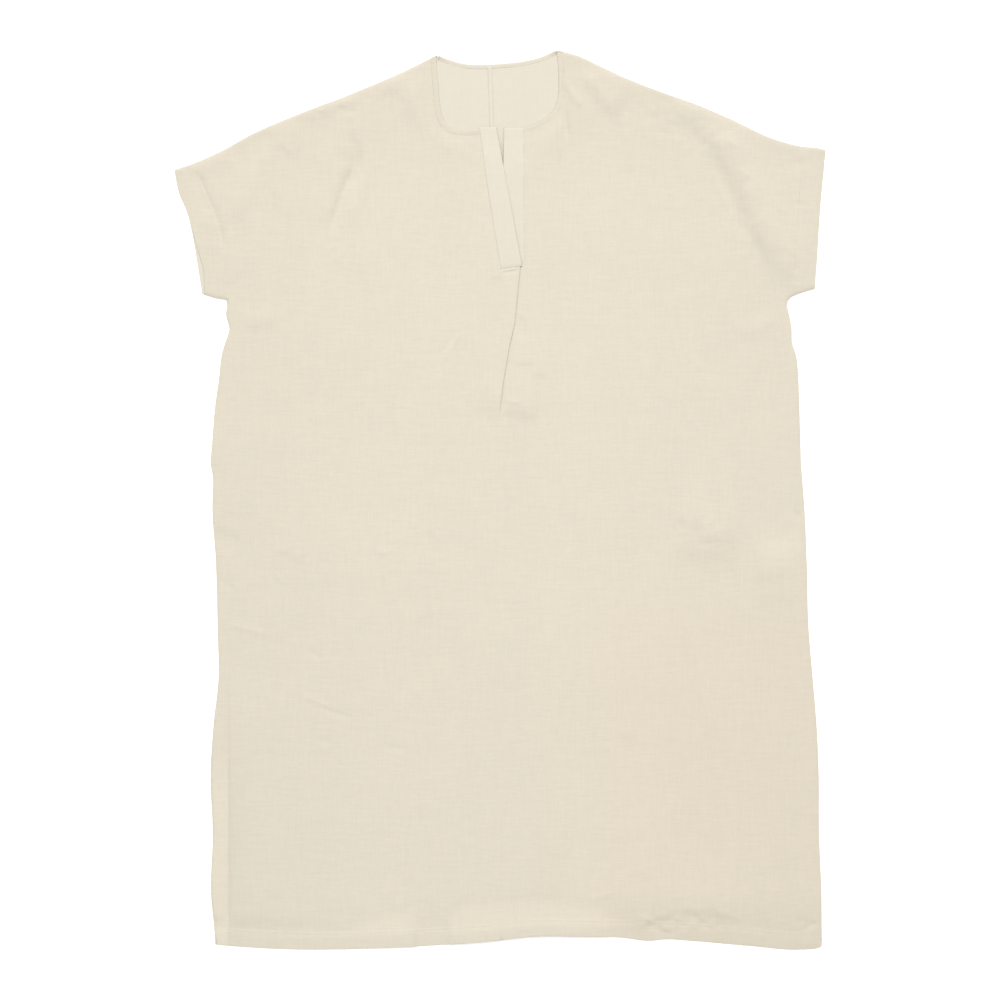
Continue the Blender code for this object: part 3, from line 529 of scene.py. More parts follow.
def swellBeside(points, onRight):   # swell of the lower layer along the fold's edge
    x, y = points.T
    away = np.clip(x - pleatEdgeX(y), 0.0, None)
    share = climb(y, *pleat["swellEnds"]) * smoothStep((pleat["top"] - y) / pleat["swellReach"])
    across = (1.0 - bell(away, pleat["swellStart"])) * np.exp(-away / pleat["swellReach"])
    return onRight * pleat["swell"] * share * across


def toLayout(points, onRight):   # place in the flat layout, where the pleat is opened out
    x, y = points.T
    start, end = pleatRow(y)[:2]
    return np.column_stack([np.where(onRight, 3 * pleat["band"] + x - end, x - start), y])


def foldFront(layout):   # middle of the cloth before its relief, and the cloth's direction
    across, y = layout.T
    band = pleat["band"]
    start, _, overlap, turn, radius, drop = pleatRow(y)
    first, middle, last = [np.clip(across / band - part, 0.0, 1.0) for part in range(3)]
    x = start + np.minimum(across, 0.0) + np.maximum(across - 3 * band, 0.0)
    x = x + radius * np.sin(turn * first) + overlap * np.cos(turn) * middle
    x = x + radius * (np.sin(turn) - np.sin(turn * (1.0 - last)))
    fallen = radius * (1 - np.cos(turn * first)) + overlap * np.sin(turn) * middle
    fallen = fallen + radius * (np.cos(turn * (1.0 - last)) - np.cos(turn))
    lifted = np.where(across <= 0.0, leftLift(np.column_stack([x, y])), drop - fallen)
    heading = turn * (first - last)
    direction = np.column_stack([np.sin(heading), np.zeros(len(x)), np.cos(heading)])
    return np.column_stack([x, y, cloth["frontMiddle"] + lifted]), direction


def frontTop(points, left):   # upper face of the front under what is sewn on it
    return cloth["frontMiddle"] + half + (leftLift(points) if left else 0.0) + clothRise(points)


# Meshes

def hexGrid(low, high, spacing):
    grid = []
    for number, y in enumerate(np.arange(low[1], high[1], spacing * math.sqrt(0.75))):
        xs = np.arange(low[0], high[0], spacing) + spacing / 2 * (number % 2)
        grid.append(np.column_stack([xs, np.full(len(xs), y)]))
    return np.concatenate(grid)


def insetRows(line, insets):
    return np.concatenate([shiftLine(line, inset)[1:-1] for inset in insets])


def spread(groups):   # points of each group that keep its clear distance from those before it
    kept = groups[0][0]
    for points, clear in groups[1:]:
        tree = kdtree.KDTree(len(kept))
        for number, (x, y) in enumerate(kept):
            tree.insert((x, y, 0.0), number)
        tree.balance()
        free = [tree.find((x, y, 0.0))[2] > clear for x, y in points]
        kept = np.concatenate([kept, points[np.array(free, dtype=bool)]])
    return kept


def triangulate(groups):   # triangles inside the loop that the first group makes
    loop, points = groups[0][0], spread(groups)
    edges = [(i, (i + 1) % len(loop)) for i in range(len(loop))]
    flat, _, faces, _, _, _ = delaunay_2d_cdt([Vector(p) for p in points], edges, [], 0, 1e-5, True)
    flat = np.array([tuple(p) for p in flat])
    faces = np.array([tuple(face) for face in faces])
    return flat, faces[insideLoop(flat[faces].mean(axis=1), loop)]


def gridFaces(rows, columns):   # two triangles for each square of a grid of points
    corner = (np.arange(rows - 1)[:, None] * columns + np.arange(columns - 1)).ravel()
    across, down = corner + 1, corner + columns
    pairs = np.column_stack([corner, down, down + 1, corner, down + 1, across])
    return pairs.reshape(-1, 3)


def closeShell(middle, up, down, faces, bulge, normals=None):   # a cloth layer with a rounded rim
    count = len(middle)
    if normals is None:
        normals = np.tile([0.0, 0.0, 1.0], (count, 1))
    upper = middle + normals * np.reshape(up, (-1, 1))
    lower = middle - normals * np.reshape(down, (-1, 1))
    sides = np.concatenate([faces[:, [0, 1]], faces[:, [1, 2]], faces[:, [2, 0]]])
    forward = sides[:, 0] * count + sides[:, 1]
    backward = sides[:, 1] * count + sides[:, 0]
    rim = sides[~np.isin(forward, backward)]
    a, b = rim.T
    tangents = np.zeros((count, 3))
    np.add.at(tangents, a, middle[b] - middle[a])
    np.add.at(tangents, b, middle[b] - middle[a])
    onRim = np.unique(rim)
    outward = np.cross(tangents[onRim], normals[onRim])
    outward /= np.linalg.norm(outward, axis=1)[:, None]
    ring = (upper[onRim] + lower[onRim]) / 2 + bulge * outward
    place = np.full(count, -1)
    place[onRim] = 2 * count + np.arange(len(onRim))
    ra, rb, la, lb = place[a], place[b], a + count, b + count
    walls = [(a, ra, rb), (a, rb, b), (ra, la, lb), (ra, lb, rb)]
    walls = np.concatenate([np.column_stack(wall) for wall in walls])
    faces = np.concatenate([faces, faces[:, ::-1] + count, walls])
    return np.concatenate([upper, lower, ring]), faces


def addObject(name, data):
    thing = bpy.data.objects.new(name, data)
    bpy.context.scene.collection.objects.link(thing)
    return thing


def addPiece(name, shell, material, node=None):
    points, faces = shell
    mesh = bpy.data.meshes.new(name)
    faces = [tuple(map(int, face)) for face in faces]
    mesh.from_pydata((np.asarray(points) * mm).tolist(), [], faces)
    mesh.validate()
    mesh.shade_smooth()
    mesh.materials.append(material)
    piece = addObject(name, mesh)
    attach(piece, "root")
    if node:
        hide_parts(node)
    return piece


# Shader groups

def feed(tree, socket, value):   # an output is linked, a number or colour is set
    if isinstance(value, bpy.types.NodeSocket):
        tree.links.new(value, socket)
    else:
        socket.default_value = value


def newGroup(name, inputs, outputs):   # an input with a number is a value, the other a vector
    group = bpy.data.node_groups.new(name, "ShaderNodeTree")
    for label, value in inputs.items():
        kind = "NodeSocketVector" if value is None else "NodeSocketFloat"
        socket = group.interface.new_socket(name=label, in_out="INPUT", socket_type=kind)
        if value is not None:
            socket.default_value = value
    for label in outputs:
        group.interface.new_socket(name=label, in_out="OUTPUT", socket_type="NodeSocketFloat")
    return group, group.nodes.new("NodeGroupInput").outputs, group.nodes.new("NodeGroupOutput").inputs


def mathNode(tree, operation, *values):   # more than two values are taken one after another
    node = tree.nodes.new("ShaderNodeMath")
    node.operation = operation
    for socket, value in zip(node.inputs, values[:2]):
        feed(tree, socket, value)
    if len(values) > 2:
        return mathNode(tree, operation, node.outputs[0], *values[2:])
    return node.outputs[0]


def sums(tree):
    return [partial(mathNode, tree, operation) for operation in ("ADD", "MULTIPLY", "SUBTRACT")]


def streaks(tree, place, scaleX, scaleY, detail, seed):   # noise drawn out along the threads
    mapping = tree.nodes.new("ShaderNodeMapping")
    texture = tree.nodes.new("ShaderNodeTexNoise")
    for node, label, value in (
            (mapping, "Vector", place), (mapping, "Scale", (scaleX, scaleY, 40.0)),
            (mapping, "Location", (seed, seed * 0.7, seed * 0.3)), (texture, "Scale", 1.0),
            (texture, "Vector", mapping.outputs["Vector"]), (texture, "Detail", detail),
            (texture, "Roughness", 0.55)):
        feed(tree, node.inputs[label], value)
    return mathNode(tree, "SUBTRACT", texture.outputs["Fac"], 0.5)


def splitPlace(tree, place):
    split = tree.nodes.new("ShaderNodeSeparateXYZ")
    feed(tree, split.inputs[0], place)
    return split.outputs["X"], split.outputs["Y"]


def plainWeave():   # threads over and under, with the slubs of linen yarn
    tree, given, result = newGroup("plainWeave", {"Place": None, "Pitch": 0.0008, "Slub": 1.0},
                                   ("Tone", "Height"))
    add, times, less = sums(tree)
    place = given["Place"]
    turns = mathNode(tree, "DIVIDE", math.pi, given["Pitch"])
    waves = []
    for at, wander in zip(splitPlace(tree, place), ((240, 60, 1, 3), (60, 240, 1, 8))):
        at = add(at, times(streaks(tree, place, *wander), 0.0011))
        waves.append(mathNode(tree, "SINE", times(at, turns)))
    over = times(*waves, 0.4)
    warp, weft = [mathNode(tree, "ABSOLUTE", wave) for wave in waves]
    threads = mathNode(tree, "MAXIMUM", times(warp, add(over, 0.6)), times(weft, less(0.6, over)))
    slubs = add(streaks(tree, place, 560, 48, 2, 1), streaks(tree, place, 56, 520, 2, 5))
    slubTone = times(slubs, given["Slub"])
    feed(tree, result["Tone"], add(slubTone, times(less(threads, 0.7), 0.15)))
    feed(tree, result["Height"], add(threads, times(slubTone, 1.1)))
    return tree


def washedCrinkle():   # the small ripples that washing leaves along the threads
    tree, given, result = newGroup("washedCrinkle", {"Place": None, "Amount": 1.0}, ("Height",))
    add, times, _ = sums(tree)
    place = given["Place"]
    upright = streaks(tree, place, 120, 26, 3, 2)
    level = streaks(tree, place, 24, 140, 3, 6)
    pebble = streaks(tree, place, 210, 210, 2, 4)
    total = add(upright, times(level, 0.7), times(pebble, 0.5))
    feed(tree, result["Height"], times(total, given["Amount"]))
    return tree


weaveGroup = plainWeave()
crinkleGroup = washedCrinkle()


def placeGroup(tree, group, **values):
    node = tree.nodes.new("ShaderNodeGroup")
    node.node_tree = group
    for label, value in values.items():
        feed(tree, node.inputs[label], value)
    return node.outputs


def softShare(tree, value, start, end, height=1.0):   # 0 before the start, the height after the end
    node = tree.nodes.new("ShaderNodeMapRange")
    node.interpolation_type = "SMOOTHSTEP"
    labels = ("Value", "From Min", "From Max", "To Min", "To Max")
    for label, number in zip(labels, (value, start, end, 0.0, height)):
        feed(tree, node.inputs[label], number)
    return node.outputs["Result"]


def rosyShare(tree, place):   # the cloth is a little rosier towards its lower right corner
    x, y = splitPlace(tree, place)
    return mathNode(tree, "MULTIPLY", softShare(tree, x, 0.02, 0.16), softShare(tree, y, -0.02, -0.18))


def wornShade(tree, place):   # painted shade: darker towards the sides, the shoulders, the lower half and the lower right corner, and in the hollow right of the lower side seam; paler on the strip left of that seam
    x, y = splitPlace(tree, place)
    add, times, less = sums(tree)
    share = partial(softShare, tree)
    # painted shade in the lower right corner, and in the hollow right of the lower side seam
    corner = times(share(x, 0.10, 0.17, 0.32), share(y, -0.46, -0.51))
    beside = less(share(x, -0.295, -0.325, 0.16), share(x, -0.3255, -0.3285, 0.62))
    seam = times(beside, share(y, -0.28, -0.36))
    return add(share(mathNode(tree, "ABSOLUTE", x), 0.10, 0.36, 0.22), share(y, 0.36, 0.47, 0.27),
               share(y, -0.05, -0.38, 0.11), corner, seam)


def mixColours(tree, share, first, second, blend):
    node = tree.nodes.new("ShaderNodeMix")
    node.data_type = "RGBA"
    node.blend_type = blend
    node.clamp_factor = blend != "MIX"
    for label, value in (("Factor", share), ("A", first), ("B", second)):
        feed(tree, node.inputs[label], value)
    return node.outputs["Result"]


linenLook = {
    "colour": (0.674, 0.620, 0.508),
    "rosy": (1.003, 0.985, 0.980),
    "light": 1.05,
    "dark": 0.95,
    "pitch": 0.0008,
    "slub": 0.9,
    "toneWeave": 0.9,
    "toneCloud": 0.35,
    "weaveHeight": 0.035,
    "crinkle": 0.42,
    # whether the tone takes the painted shade at the sides, shoulders, lower half and side seam
    "worn": False,
    "finish": {"Roughness": 0.92, "Specular IOR Level": 0.25, "Sheen Weight": 0.1,
               "Sheen Roughness": 0.5},
}


def linenMaterial(name, **changes):
    look = {**linenLook, **changes}
    material = bpy.data.materials.new(name)
    material.use_nodes = True
    tree = material.node_tree
    shader = tree.nodes["Principled BSDF"]
    add, times, less = sums(tree)
    place = tree.nodes.new("ShaderNodeTexCoord").outputs["Object"]
    weave = placeGroup(tree, weaveGroup, Place=place, Pitch=look["pitch"], Slub=look["slub"])
    crinkle = placeGroup(tree, crinkleGroup, Place=place, Amount=look["crinkle"])
    cloudy = streaks(tree, place, 14, 9, 3, 2.5)
    tone = add(times(weave["Tone"], look["toneWeave"]), times(cloudy, look["toneCloud"]), 0.5)
    # the tone is darkened by painted shade at the sides, shoulders, lower half and beside the side seam
    if look["worn"]:
        tone = less(tone, wornShade(tree, place))
    dark, light = [(*(np.array(look["colour"]) * look[end]), 1.0) for end in ("dark", "light")]
    colour = mixColours(tree, tone, dark, light, "MIX")
    colour = mixColours(tree, rosyShare(tree, place), colour, (*look["rosy"], 1.0), "MULTIPLY")
    bump = tree.nodes.new("ShaderNodeBump")
    height = add(times(weave["Height"], look["weaveHeight"]), crinkle["Height"])
    for label, value in (("Strength", 1.0), ("Distance", mm), ("Height", height)):
        feed(tree, bump.inputs[label], value)
    inputs = {"Base Color": colour, "Normal": bump.outputs["Normal"], **look["finish"]}
    for label, value in inputs.items():
        feed(tree, shader.inputs[label], value)
    return material


# the front's cloth has painted shade in its colour
linenCloth = linenMaterial("linenCloth", worn=True)
pressedLinen = linenMaterial("pressedLinen", colour=(0.688, 0.634, 0.529), crinkle=0.12,
                             toneWeave=0.6, toneCloud=0.15)
insideLinen = linenMaterial("insideLinen", colour=(0.685, 0.633, 0.531), crinkle=0.16, toneWeave=0.6)
sewingThread = linenMaterial("sewingThread", colour=(0.70, 0.65, 0.54), crinkle=0.0, toneWeave=0.3,
                             pitch=0.0004)
print("linen woven")


# Front panel

slit = {   # each edge from its top to the bottom of the slit
    "left": [(-21.8, 444.45), (3.4, 287.8)],
    "right": [(25.4, 445.4), (27.0, 287.8)],
    "points": 46,
}


def bindingRow(path, inset):   # the neckline moved onto the cloth, cut off at the shoulder seam
    row = shiftLine(path, inset)
    seamY = np.interp(row[:, 0], *shoulderSeam.T) - 0.3
    row[:4, 1] = np.minimum(row[:4, 1], seamY[:4])
    return row


def pleatColumns():
    arc = np.linspace(0.0, pleat["band"], 8)
    return np.concatenate([arc, pleat["band"] * np.array([1.2, 1.4, 1.6, 1.8]), 2 * pleat["band"] + arc])


def frontLoop(columns):   # the cut edge in the flat layout
    cut = {side: np.concatenate([bindingRow(neck, inset)[:-1], np.linspace(*slit[side], slit["points"])])
           for side, neck, inset in (("left", neckLeft, -cloth["edgeInset"]),
                                     ("right", neckRight, cloth["edgeInset"]))}
    seams = frontOutline[1:-1]
    outer = toLayout(seams, seams[:, 0] > pleatRow(seams[:, 1])[0])
    bottom = np.column_stack([columns, np.full(len(columns), pleat["top"])])[::-1]
    right, left = toLayout(cut["right"], True), toLayout(cut["left"][::-1], False)
    return np.concatenate([outer, right, bottom, left])


def foldPoints(columns):   # points of the pleat and of the cloth right below it, in the layout
    foldY = np.linspace(pleat["top"], pleat["end"], pleat["rows"] + 1)[1:]
    fold = [(column, y) for y in foldY for column in columns]
    hemY = np.interp(pleatEdgeX(0.0), *hemLine.T)
    belowFold = np.arange(pleat["end"] - 5.0, hemY + cloth["hemDepth"] + 5.0, -5.0)
    hemRows = cloth["hemDepth"] + np.array(frontPanel["hemRows"])
    nearHem = hemY + np.array([*hemRows, 13.0, 9.0, 6.0, 4.2, 2.2, 0.8])
    fold += [(part * pleat["band"], y) for y in np.concatenate([belowFold, nearHem])
             for part in (0.5, 1.5, 2.5)]
    besideY = np.arange(pleat["swellEnds"][0], pleat["top"], 3.0)
    for aside in (-1.4, -0.6, 0.1, 0.8, 1.6, 2.8):
        fold += toLayout(np.column_stack([pleatEdgeX(besideY) + aside, besideY]), True).tolist()
    return np.array(fold)


def frontRows():   # rows of points along edges, hems, seams and narrow creases
    rows = [insetRows(frontOutline, (2.2, 4.2))]
    rows += [insetRows(line, depth + np.array(frontPanel["hemRows"])) for line, depth in frontHems]
    rows.append(insetRows(seamLine, (-4.4, -2.4, -1.1, 0.0, 1.1, 2.4, 4.4)))
    for row in frontPanel["folds"] + frontPanel["smallCreases"] + frontPanel["steps"]:
        if row[6] < 6:
            rows.append(insetRows(creaseLine(row), row[6] * np.array([-1.3, -0.65, 0.0, 0.65, 1.3])))
    return rows + [bindingRow(neckRight, 3.6), bindingRow(neckLeft, -3.6)]


def makeFront():
    columns = pleatColumns()
    loop = frontLoop(columns)
    flatGroups = [(insetRows(frontOutline, [0.4]), 0.3), (insetRows(frontOutline, [1.2]), 0.7)]
    flatGroups += [(row, 1.0) for row in frontRows()]
    for spot in frontPanel["mottles"]:
        x, y, halfX, halfY, _ = spot
        grid = hexGrid((x - halfX, y - halfY), (x + halfX, y + halfY), frontPanel["mottleGrid"])
        flatGroups.append((grid[spotReach(grid, spot) < 1.0], 1.6))
    flatGroups.append((hexGrid(*frontPanel["gridCorners"], frontPanel["grid"]), 2.7))
    groups = [(loop, 0.0), (foldPoints(columns), 0.05)]
    for points, clear in flatGroups:
        foldX = pleatEdgeX(np.clip(points[:, 1], pleat["end"], pleat["top"]))
        placed = toLayout(points, points[:, 0] > foldX)
        across, y = placed.T
        inFold = (y < pleat["top"]) & (across > -1.5) & (across < 3 * pleat["band"] + 1.5)
        groups.append((placed[insideLoop(placed, loop) & ~inFold], clear))
    layout, faces = triangulate(groups)
    print("front cut:", len(layout), "points")

    middle, normals = foldFront(layout)
    flat = middle[:, :2]
    band, groove, pucker = hemShape(flat, frontHems)
    seamNames = ("leftShoulder", "leftUnderarmFront", "left", "right", "rightUnderarm", "rightShoulder")
    seamGap = gapTo(flat, *[edgeLine(name, 6.0) for name in seamNames])
    roll = 1.0 - smoothStep(seamGap / frontPanel["seamRoll"])
    lip = 1.0 - smoothStep(gapTo(flat, frontOutline) / 1.1)
    sag = 1.0 - smoothStep(gapTo(flat, *[line for line, _ in frontHems]) / frontPanel["hemSagReach"])
    middle[:, 2] += clothRise(flat) + pucker + swellBeside(flat, layout[:, 0] > 3 * pleat["band"])
    middle[:, 2] -= np.maximum(frontPanel["seamDrop"] * roll, frontPanel["hemSag"] * sag)
    lowest = frontPanel["restHeight"] - 0.05 + frontPanel["hemDrop"] * band
    middle[:, 2] = np.maximum(middle[:, 2], lowest)
    flatPart = normals[:, 2] > 0.99
    band = band * (1 - roll)
    groove = frontPanel["stitchGroove"] * groove
    up = half + flatPart * (frontPanel["hemRise"] * band - groove - 0.08 * lip)
    down = half + flatPart * (frontPanel["hemDrop"] * band - 0.05 * lip)
    return addPiece("frontPanel", closeShell(middle, up, down, faces, 0.3, normals), linenCloth,
                    "front")


front = makeFront()
print("front laid:", len(front.data.polygons), "triangles")


# Back panels, parted at the centre-back seam

backPanel = {
    "seam": [(-15.4, 523.0), (20.0, -526.8)],
    "halfGap": 0.06,
    "grid": 8.0,
    "fineGrid": 3.6,       # in the neck, where the inside shows
    "fineCorners": ((-82.0, 420.0), (76.0, 540.0)),
    "hemRows": (-2.6, -1.7, -0.8, 0.9),
    "neckSpan": (-75.0, 66.5),
    "under": 0.14,         # the panels' underside stays this far above their hems'
    "stitchGroove": 0.22,
    "valley": 0.2,         # depth of the seam's groove
    "pressAt": 5.9,        # the allowance's edge is pressed into the cloth, this far from the seam
    "press": 0.3,
}
backSeam = np.array(backPanel["seam"])
backHems = {side: [(hemLine, cloth["hemDepth"]), (edgeLine(cuff), cloth["cuffDepth"])]
            for side, cuff in (("Left", "leftCuff"), ("Right", "rightCuff"))}


def neckPart(line):
    return line[(line[:, 0] > backPanel["neckSpan"][0]) & (line[:, 0] < backPanel["neckSpan"][1])]


def nearestPoint(line, point):
    return int(np.linalg.norm(line - point, axis=1).argmin())


def backLoops():
    neck = neckPart(shiftLine(neckBack, cloth["edgeInset"]))
    seam = evenLine(backSeam, 5.0)
    seam[-1][1] = np.interp(seam[-1][0], *hemLine.T) + 0.1
    isLeft = neck[:, 0] < seam[0][0]
    seam[0][1] = np.interp(seam[0][0], *neck[::-1].T)
    aside = np.array([backPanel["halfGap"], 0.0])
    low = hemLine[:, 0] < backSeam[1][0]
    leftOuter = backOutline[:nearestPoint(backOutline, hemLine[low][-1]) + 1]
    rightOuter = backOutline[nearestPoint(backOutline, hemLine[~low][0]):]
    return {"Left": np.concatenate([leftOuter, (seam - aside)[::-1], neck[isLeft]]),
            "Right": np.concatenate([rightOuter, neck[~isLeft], seam + aside])}


def makeBack(side, loop):
    seam = evenLine(backSeam, 4.0)
    away = -1.0 if side == "Left" else 1.0
    rows = [insetRows(backOutline, (0.8, 2.4))]
    rows += [insetRows(line, depth + np.array(backPanel["hemRows"])) for line, depth in backHems[side]]
    rows += [seam + np.array([away * gap, 0.0]) for gap in (0.8, 1.9)]
    if side == "Right":
        high = seam[seam[:, 1] > 400.0]
        rows += [high + np.array([backPanel["pressAt"] + gap, 0.0]) for gap in (-0.8, 0.0, 0.8)]
    fine = hexGrid(*backPanel["fineCorners"], backPanel["fineGrid"])
    coarse = hexGrid(loop.min(axis=0), loop.max(axis=0), backPanel["grid"])
    groups = [(row, 0.7) for row in rows] + [(fine, 2.0), (coarse, 3.4)]
    groups = [(points[insideLoop(points, loop)], clear) for points, clear in groups]
    flat, faces = triangulate([(loop, 0.0)] + groups)

    band, groove, pucker = hemShape(flat, backHems[side])
    toEdge, toSeam = gapTo(flat, backOutline), gapTo(flat, seam)
    lip = 1.0 - smoothStep(toEdge / 1.6)
    inner = climb(flat[:, 1], 420.0, 440.0)
    ripple = 0.16 * inner * noiseField(flat, 16.0, 60.0, 2.2) + 0.05 * noiseField(flat, 30.0, 40.0, 6.0)
    valley = backPanel["valley"] * bell(toSeam, 0.8)
    if side == "Right":
        valley += backPanel["press"] * inner * bell(toSeam - backPanel["pressAt"], 0.8)
    middle = np.column_stack([flat, np.full(len(flat), cloth["backMiddle"])])
    up = half + ripple * smoothStep(toEdge / 20.0) - valley - 0.15 * lip + 0.5 * pucker
    down = cloth["backMiddle"] - backPanel["under"] * (1.0 - band)
    down = down - backPanel["stitchGroove"] * groove * band - 0.08 * lip
    down = np.minimum(down, cloth["backMiddle"])
    return addPiece("backPanel" + side, closeShell(middle, up, down, faces, 0.25), insideLinen,
                    "back_" + side.lower())


backs = {side: makeBack(side, loop) for side, loop in backLoops().items()}
print("back laid:", [len(piece.data.polygons) for piece in backs.values()], "triangles")


# Seam allowance pressed to one side, which shows inside the neck

allowance = {
    "across": (0.35, 0.8, 1.6, 3.0, 4.4, 5.0, 5.4),   # rows of points, from the seam
    "rise": 0.55,
    "bottom": 400.0,
    "top": 520.6,
    "rows": 60,
}


def makeAllowance():
    ys = np.linspace(allowance["top"], allowance["bottom"], allowance["rows"])
    xs = np.interp(ys, backSeam[::-1, 1], backSeam[::-1, 0])
    across = np.array(allowance["across"])
    edge = np.minimum(across - across[0], across[-1] - across)
    level = cloth["backMiddle"] + half - 0.1 + allowance["rise"] * smoothStep(edge / 0.5)
    points = []
    for x, y in zip(xs, ys):
        wobble = 0.22 * noise.noise(Vector((y / 14.0, 2.0, 0.0)))
        points += [(x + a + wobble * a / 5.0, y, z) for a, z in zip(across, level)]
    shell = closeShell(np.array(points), 0.1, 0.1, gridFaces(len(ys), len(across)), 0.06)
    return addPiece("backSeamAllowance", shell, insideLinen)


seamAllowance = makeAllowance()


# Placket strips: doubled cloth, folded edges along both sides

placket = {
    # corners, top then bottom
    "over": [(-24.6, 447.4), (-5.0, 447.4), (1.5, 276.9), (25.8, 280.4)],
    "under": [(5.0, 446.6), (27.6, 446.6), (4.4, 284.4), (28.8, 284.4)],
    "rows": 72,
    "columns": 16,
    "half": 0.4,           # half its thickness
    "edgeRound": 1.1,
    "bend": 1.2,           # the left edge bows out a little
}


def makeStrip(name, corners, level, node):
    topLeft, topRight, bottomLeft, bottomRight = np.array(corners)
    across = (1.0 - np.cos(np.linspace(0.0, math.pi, placket["columns"] + 1))) / 2
    v, u = [grid.ravel() for grid in np.meshgrid(np.linspace(0.0, 1.0, placket["rows"] + 1), across,
                                                 indexing="ij")]
    start, end = [top * (1 - v)[:, None] + bottom * v[:, None]
                  for top, bottom in ((topLeft, bottomLeft), (topRight, bottomRight))]
    flat = start * (1 - u)[:, None] + end * u[:, None]
    flat[:, 0] -= placket["bend"] * np.sin(math.pi * v) * (1 - u)
    toSide = np.minimum(u, 1 - u) * np.linalg.norm(topRight - topLeft)
    length = np.linalg.norm(bottomLeft - topLeft)
    toBottom = (1 - v) * length
    toEdge = np.minimum(toSide, np.minimum(v * length, toBottom))
    rounding = 1 - smoothStep(toEdge / placket["edgeRound"])
    stitches = np.minimum(bell(toSide - 1.9, 0.7) + bell(toBottom - 3.4, 0.8), 1.0)
    wave = 0.10 * np.sin(v * 31.0 + 3.0 * np.sin(v * 7.0)) * np.exp(-toSide / 3.0)
    endDrop = 0.25 * (1 - smoothStep(toBottom / 4.0))
    middle = np.column_stack([flat, level(flat, u) + placket["half"] + wave - endDrop])
    up = placket["half"] - 0.26 * rounding - 0.2 * stitches
    down = placket["half"] - 0.05 * rounding
    faces = gridFaces(placket["rows"] + 1, len(across))
    return addPiece(name, closeShell(middle, up, down, faces, 0.3), pressedLinen, node)


overStrip = makeStrip("placketOver", placket["over"],
                      lambda points, across: frontTop(points, True) - 0.08, "placket_over")
# it leans up to the front's cut edge, which it covers
underStrip = makeStrip("placketUnder", placket["under"],
                       lambda points, across: frontTop(points, False) - 0.65 + 0.3 * across,
                       "placket_under")
print("placket sewn")


# Neck bindings: a folded tape round each cut edge

binding = {
    "frontWidth": 6.6,
    "backWidth": 5.0,
    "wall": {"neckBindingLeft": 0.4, "neckBindingRight": 0.22, "neckBindingBack": 0.4},
    "stand": 2.4,          # the back's binding stands up where it turns over the shoulder
    "standReach": 6.5,
    "backFoot": 0.14,      # height of the back's lower face
    "stitchInset": 1.7,
}


def makeBinding(name, path, width, level, side, node, material):   # side 1 is left of the path
    thick = cloth["thick"]
    high = thick + binding["wall"][name]
    # inset from the edge and height above the panel's lower face
    section = [(1.0, 0.0), (1.0, thick - 0.1), (width, thick - 0.1), (width + 0.3, thick),
               (width, high - 0.22), (width - 0.6, high - 0.08), (width - 1.2, high - 0.14),
               (width - 1.7, high - 0.24), (width - 2.2, high - 0.12), (width - 3.0, high),
               (1.8, high - 0.02), (0.9, high - 0.14), (0.3, high - 0.4), (0.02, high - 0.75),
               (0.1, 0.2), (0.4, 0.0)]
    at = runs(path)
    stand = 0.0 if level else binding["stand"] * bell(np.minimum(at, at[-1] - at), binding["standReach"])
    points = []
    for inset, height in section:
        ring = bindingRow(path, side * inset) if level else shiftLine(path, inset)
        foot = level(ring) - thick if level else binding["backFoot"]
        foot = foot + stand * (1.0 - inset / width) * (height > half)
        points += np.column_stack([ring, foot + height]).tolist()
    count, parts = len(path), len(section)
    faces = []
    for part in range(parts):
        here, there = part * count, (part + 1) % parts * count
        faces += [(here + i, here + i + 1, there + i + 1, there + i) for i in range(count - 1)]
    faces += [tuple(part * count for part in reversed(range(parts))),
              tuple(part * count + count - 1 for part in range(parts))]
    return addPiece(name, (points, [face[::side] for face in faces]), material, node)


leftBinding = makeBinding("neckBindingLeft", neckLeft, binding["frontWidth"],
                          lambda points: frontTop(points, True), -1, "neck_binding_left", linenCloth)
rightBinding = makeBinding("neckBindingRight", neckRight, binding["frontWidth"],
                           lambda points: frontTop(points, False), 1, "neck_binding_right", linenCloth)
backBinding = makeBinding("neckBindingBack", neckPart(neckBack), binding["backWidth"], None, 1,
                          "neck_binding_back", insideLinen)
print("neck bound")


# Sewing thread: each stitch a short rounded bar that dips into the cloth at its ends

stitching = {
    "length": 3.0,
    "gap": 0.7,
    "radius": 0.2,
    "sides": 6,
    # share of the stitch's length, of its radius, and height over the cloth
    "bar": [(0.0, 0.35, -0.3), (0.12, 0.8, -0.1), (0.35, 1.0, 0.04), (0.65, 1.0, 0.04),
            (0.88, 0.8, -0.1), (1.0, 0.35, -0.3)],
}
stitchPitch = stitching["length"] + stitching["gap"]


def makeStitches(name, paths):   # paths of points on the cloth
    sides = stitching["sides"]
    turns = np.arange(sides)[:, None] * 2 * math.pi / sides
    points, faces = [], []
    for path in paths:
        stations = evenLine(path, stitchPitch)
        for first, run in zip(stations[:-1], np.diff(stations, axis=0)):
            along = run / np.linalg.norm(run)
            side = np.cross(along, (0.0, 0.0, 1.0))
            side /= np.linalg.norm(side)
            up = np.cross(side, along)
            base = len(points)
            for share, wide, dip in stitching["bar"]:
                centre = first + run * (0.09 + 0.82 * share) + up * dip
                across = np.cos(turns) * side + 0.8 * np.sin(turns) * up
                points += (centre + stitching["radius"] * wide * across).tolist()
            for ring in range(base, len(points) - sides, sides):
                faces += [(ring + k, ring + (k + 1) % sides, ring + (k + 1) % sides + sides,
                           ring + k + sides) for k in range(sides)]
            faces.append(tuple(reversed(range(base, base + sides))))
            faces.append(tuple(range(len(points) - sides, len(points))))
    return addPiece(name, (points, faces), sewingThread)


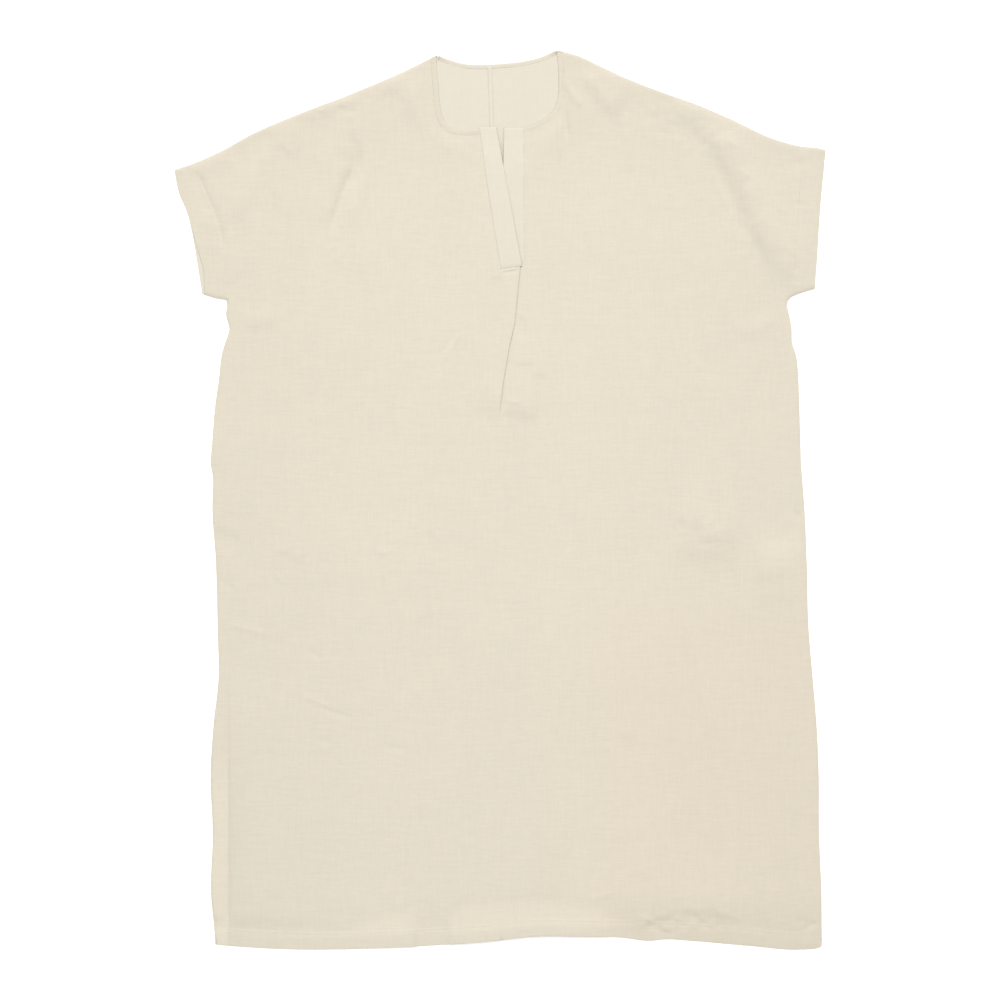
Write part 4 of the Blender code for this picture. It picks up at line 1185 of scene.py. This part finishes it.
def dropOn(piece, line, lift):   # the line laid on a piece's upper face
    found = []
    for x, y in line:
        hit, place, _, _ = piece.ray_cast(Vector((x * mm, y * mm, 0.05)), Vector((0.0, 0.0, -1.0)))
        if hit:
            found.append((x, y, place.z / mm + lift))
    return np.array(found)


def hemThreadLine(line, depth):
    inset = depth - frontPanel["stitchInset"]
    run = shiftLine(evenLine(line, stitchPitch), inset)
    return dropOn(front, run[gapTo(run, frontOutline) > inset - 0.6], 0.12)


bpy.context.view_layer.update()   # lines can be dropped onto the pieces from here on
hemThread, *cuffThreads = [
    makeStitches(name, [hemThreadLine(*hem)])
    for name, hem in zip(("hemStitches", "sleeveStitchesLeft", "sleeveStitchesRight"), frontHems)]
frontInset = binding["frontWidth"] - binding["stitchInset"]
backInset = binding["backWidth"] - binding["stitchInset"]
bindingThread = makeStitches("bindingStitches", [
    dropOn(leftBinding, bindingRow(neckLeft, -frontInset)[3:], 0.1),
    dropOn(rightBinding, bindingRow(neckRight, frontInset)[3:], 0.1),
    dropOn(backBinding, shiftLine(neckPart(neckBack), backInset)[2:-2], 0.1)])
print("stitches sewn")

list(cuffThreads)


# Floor, light and camera

studio = {
    "floorSize": 30.0,
    "floorDrop": 0.0002,   # the floor is this far below the cloth
    "floorTone": 0.95,
    "floorGlow": 0.35,     # the floor is lit from below too, so it shows no shadow
    "keyPlace": (0.0, 5.8, 10.0),
    "keySize": 7.8,
    "keyPower": 1068.0,
    "world": 0.60,
    "photoWidth": 1.2012,  # metres of floor across the picture
    "lens": 100.0,
    "sensor": 36.0,
    "eye": (0.00036, -0.00084),
    "clothHeight": 0.003,  # the picture is sharp and true to size at this height
}


def makeStudio():
    size, drop = studio["floorSize"] / 2, studio["floorDrop"]
    mesh = bpy.data.meshes.new("floor")
    corners = [(x * size, y * size, -drop) for x, y in ((-1, -1), (1, -1), (1, 1), (-1, 1))]
    mesh.from_pydata(corners, [], [(0, 1, 2, 3)])
    material = bpy.data.materials.new("paleFloor")
    material.use_nodes = True
    values = {"Base Color": (*[studio["floorTone"]] * 3, 1.0), "Roughness": 0.9,
              "Emission Color": (1.0, 1.0, 1.0, 1.0), "Emission Strength": studio["floorGlow"]}
    for label, value in values.items():
        material.node_tree.nodes["Principled BSDF"].inputs[label].default_value = value
    mesh.materials.append(material)
    addObject("floor", mesh)

    light = bpy.data.lights.new("softbox", "AREA")
    light.shape = "SQUARE"
    light.size = studio["keySize"]
    light.energy = studio["keyPower"]
    lamp = addObject("softbox", light)
    lamp.location = studio["keyPlace"]
    lamp.rotation_euler = (-Vector(studio["keyPlace"])).to_track_quat("-Z", "Y").to_euler()

    world = bpy.data.worlds.new("studio")
    world.use_nodes = True
    background = world.node_tree.nodes["Background"]
    background.inputs["Color"].default_value = (1.0, 1.0, 1.0, 1.0)
    background.inputs["Strength"].default_value = studio["world"]
    bpy.context.scene.world = world
    bpy.context.scene.view_settings.view_transform = "Standard"

    camera = bpy.data.cameras.new("camera")
    camera.lens = studio["lens"]
    camera.sensor_width = studio["sensor"]
    distance = studio["photoWidth"] * studio["lens"] / studio["sensor"]
    eye = addObject("camera", camera)
    eye.location = (*studio["eye"], distance + studio["clothHeight"])
    bpy.context.scene.camera = eye


makeStudio()
print("studio ready")
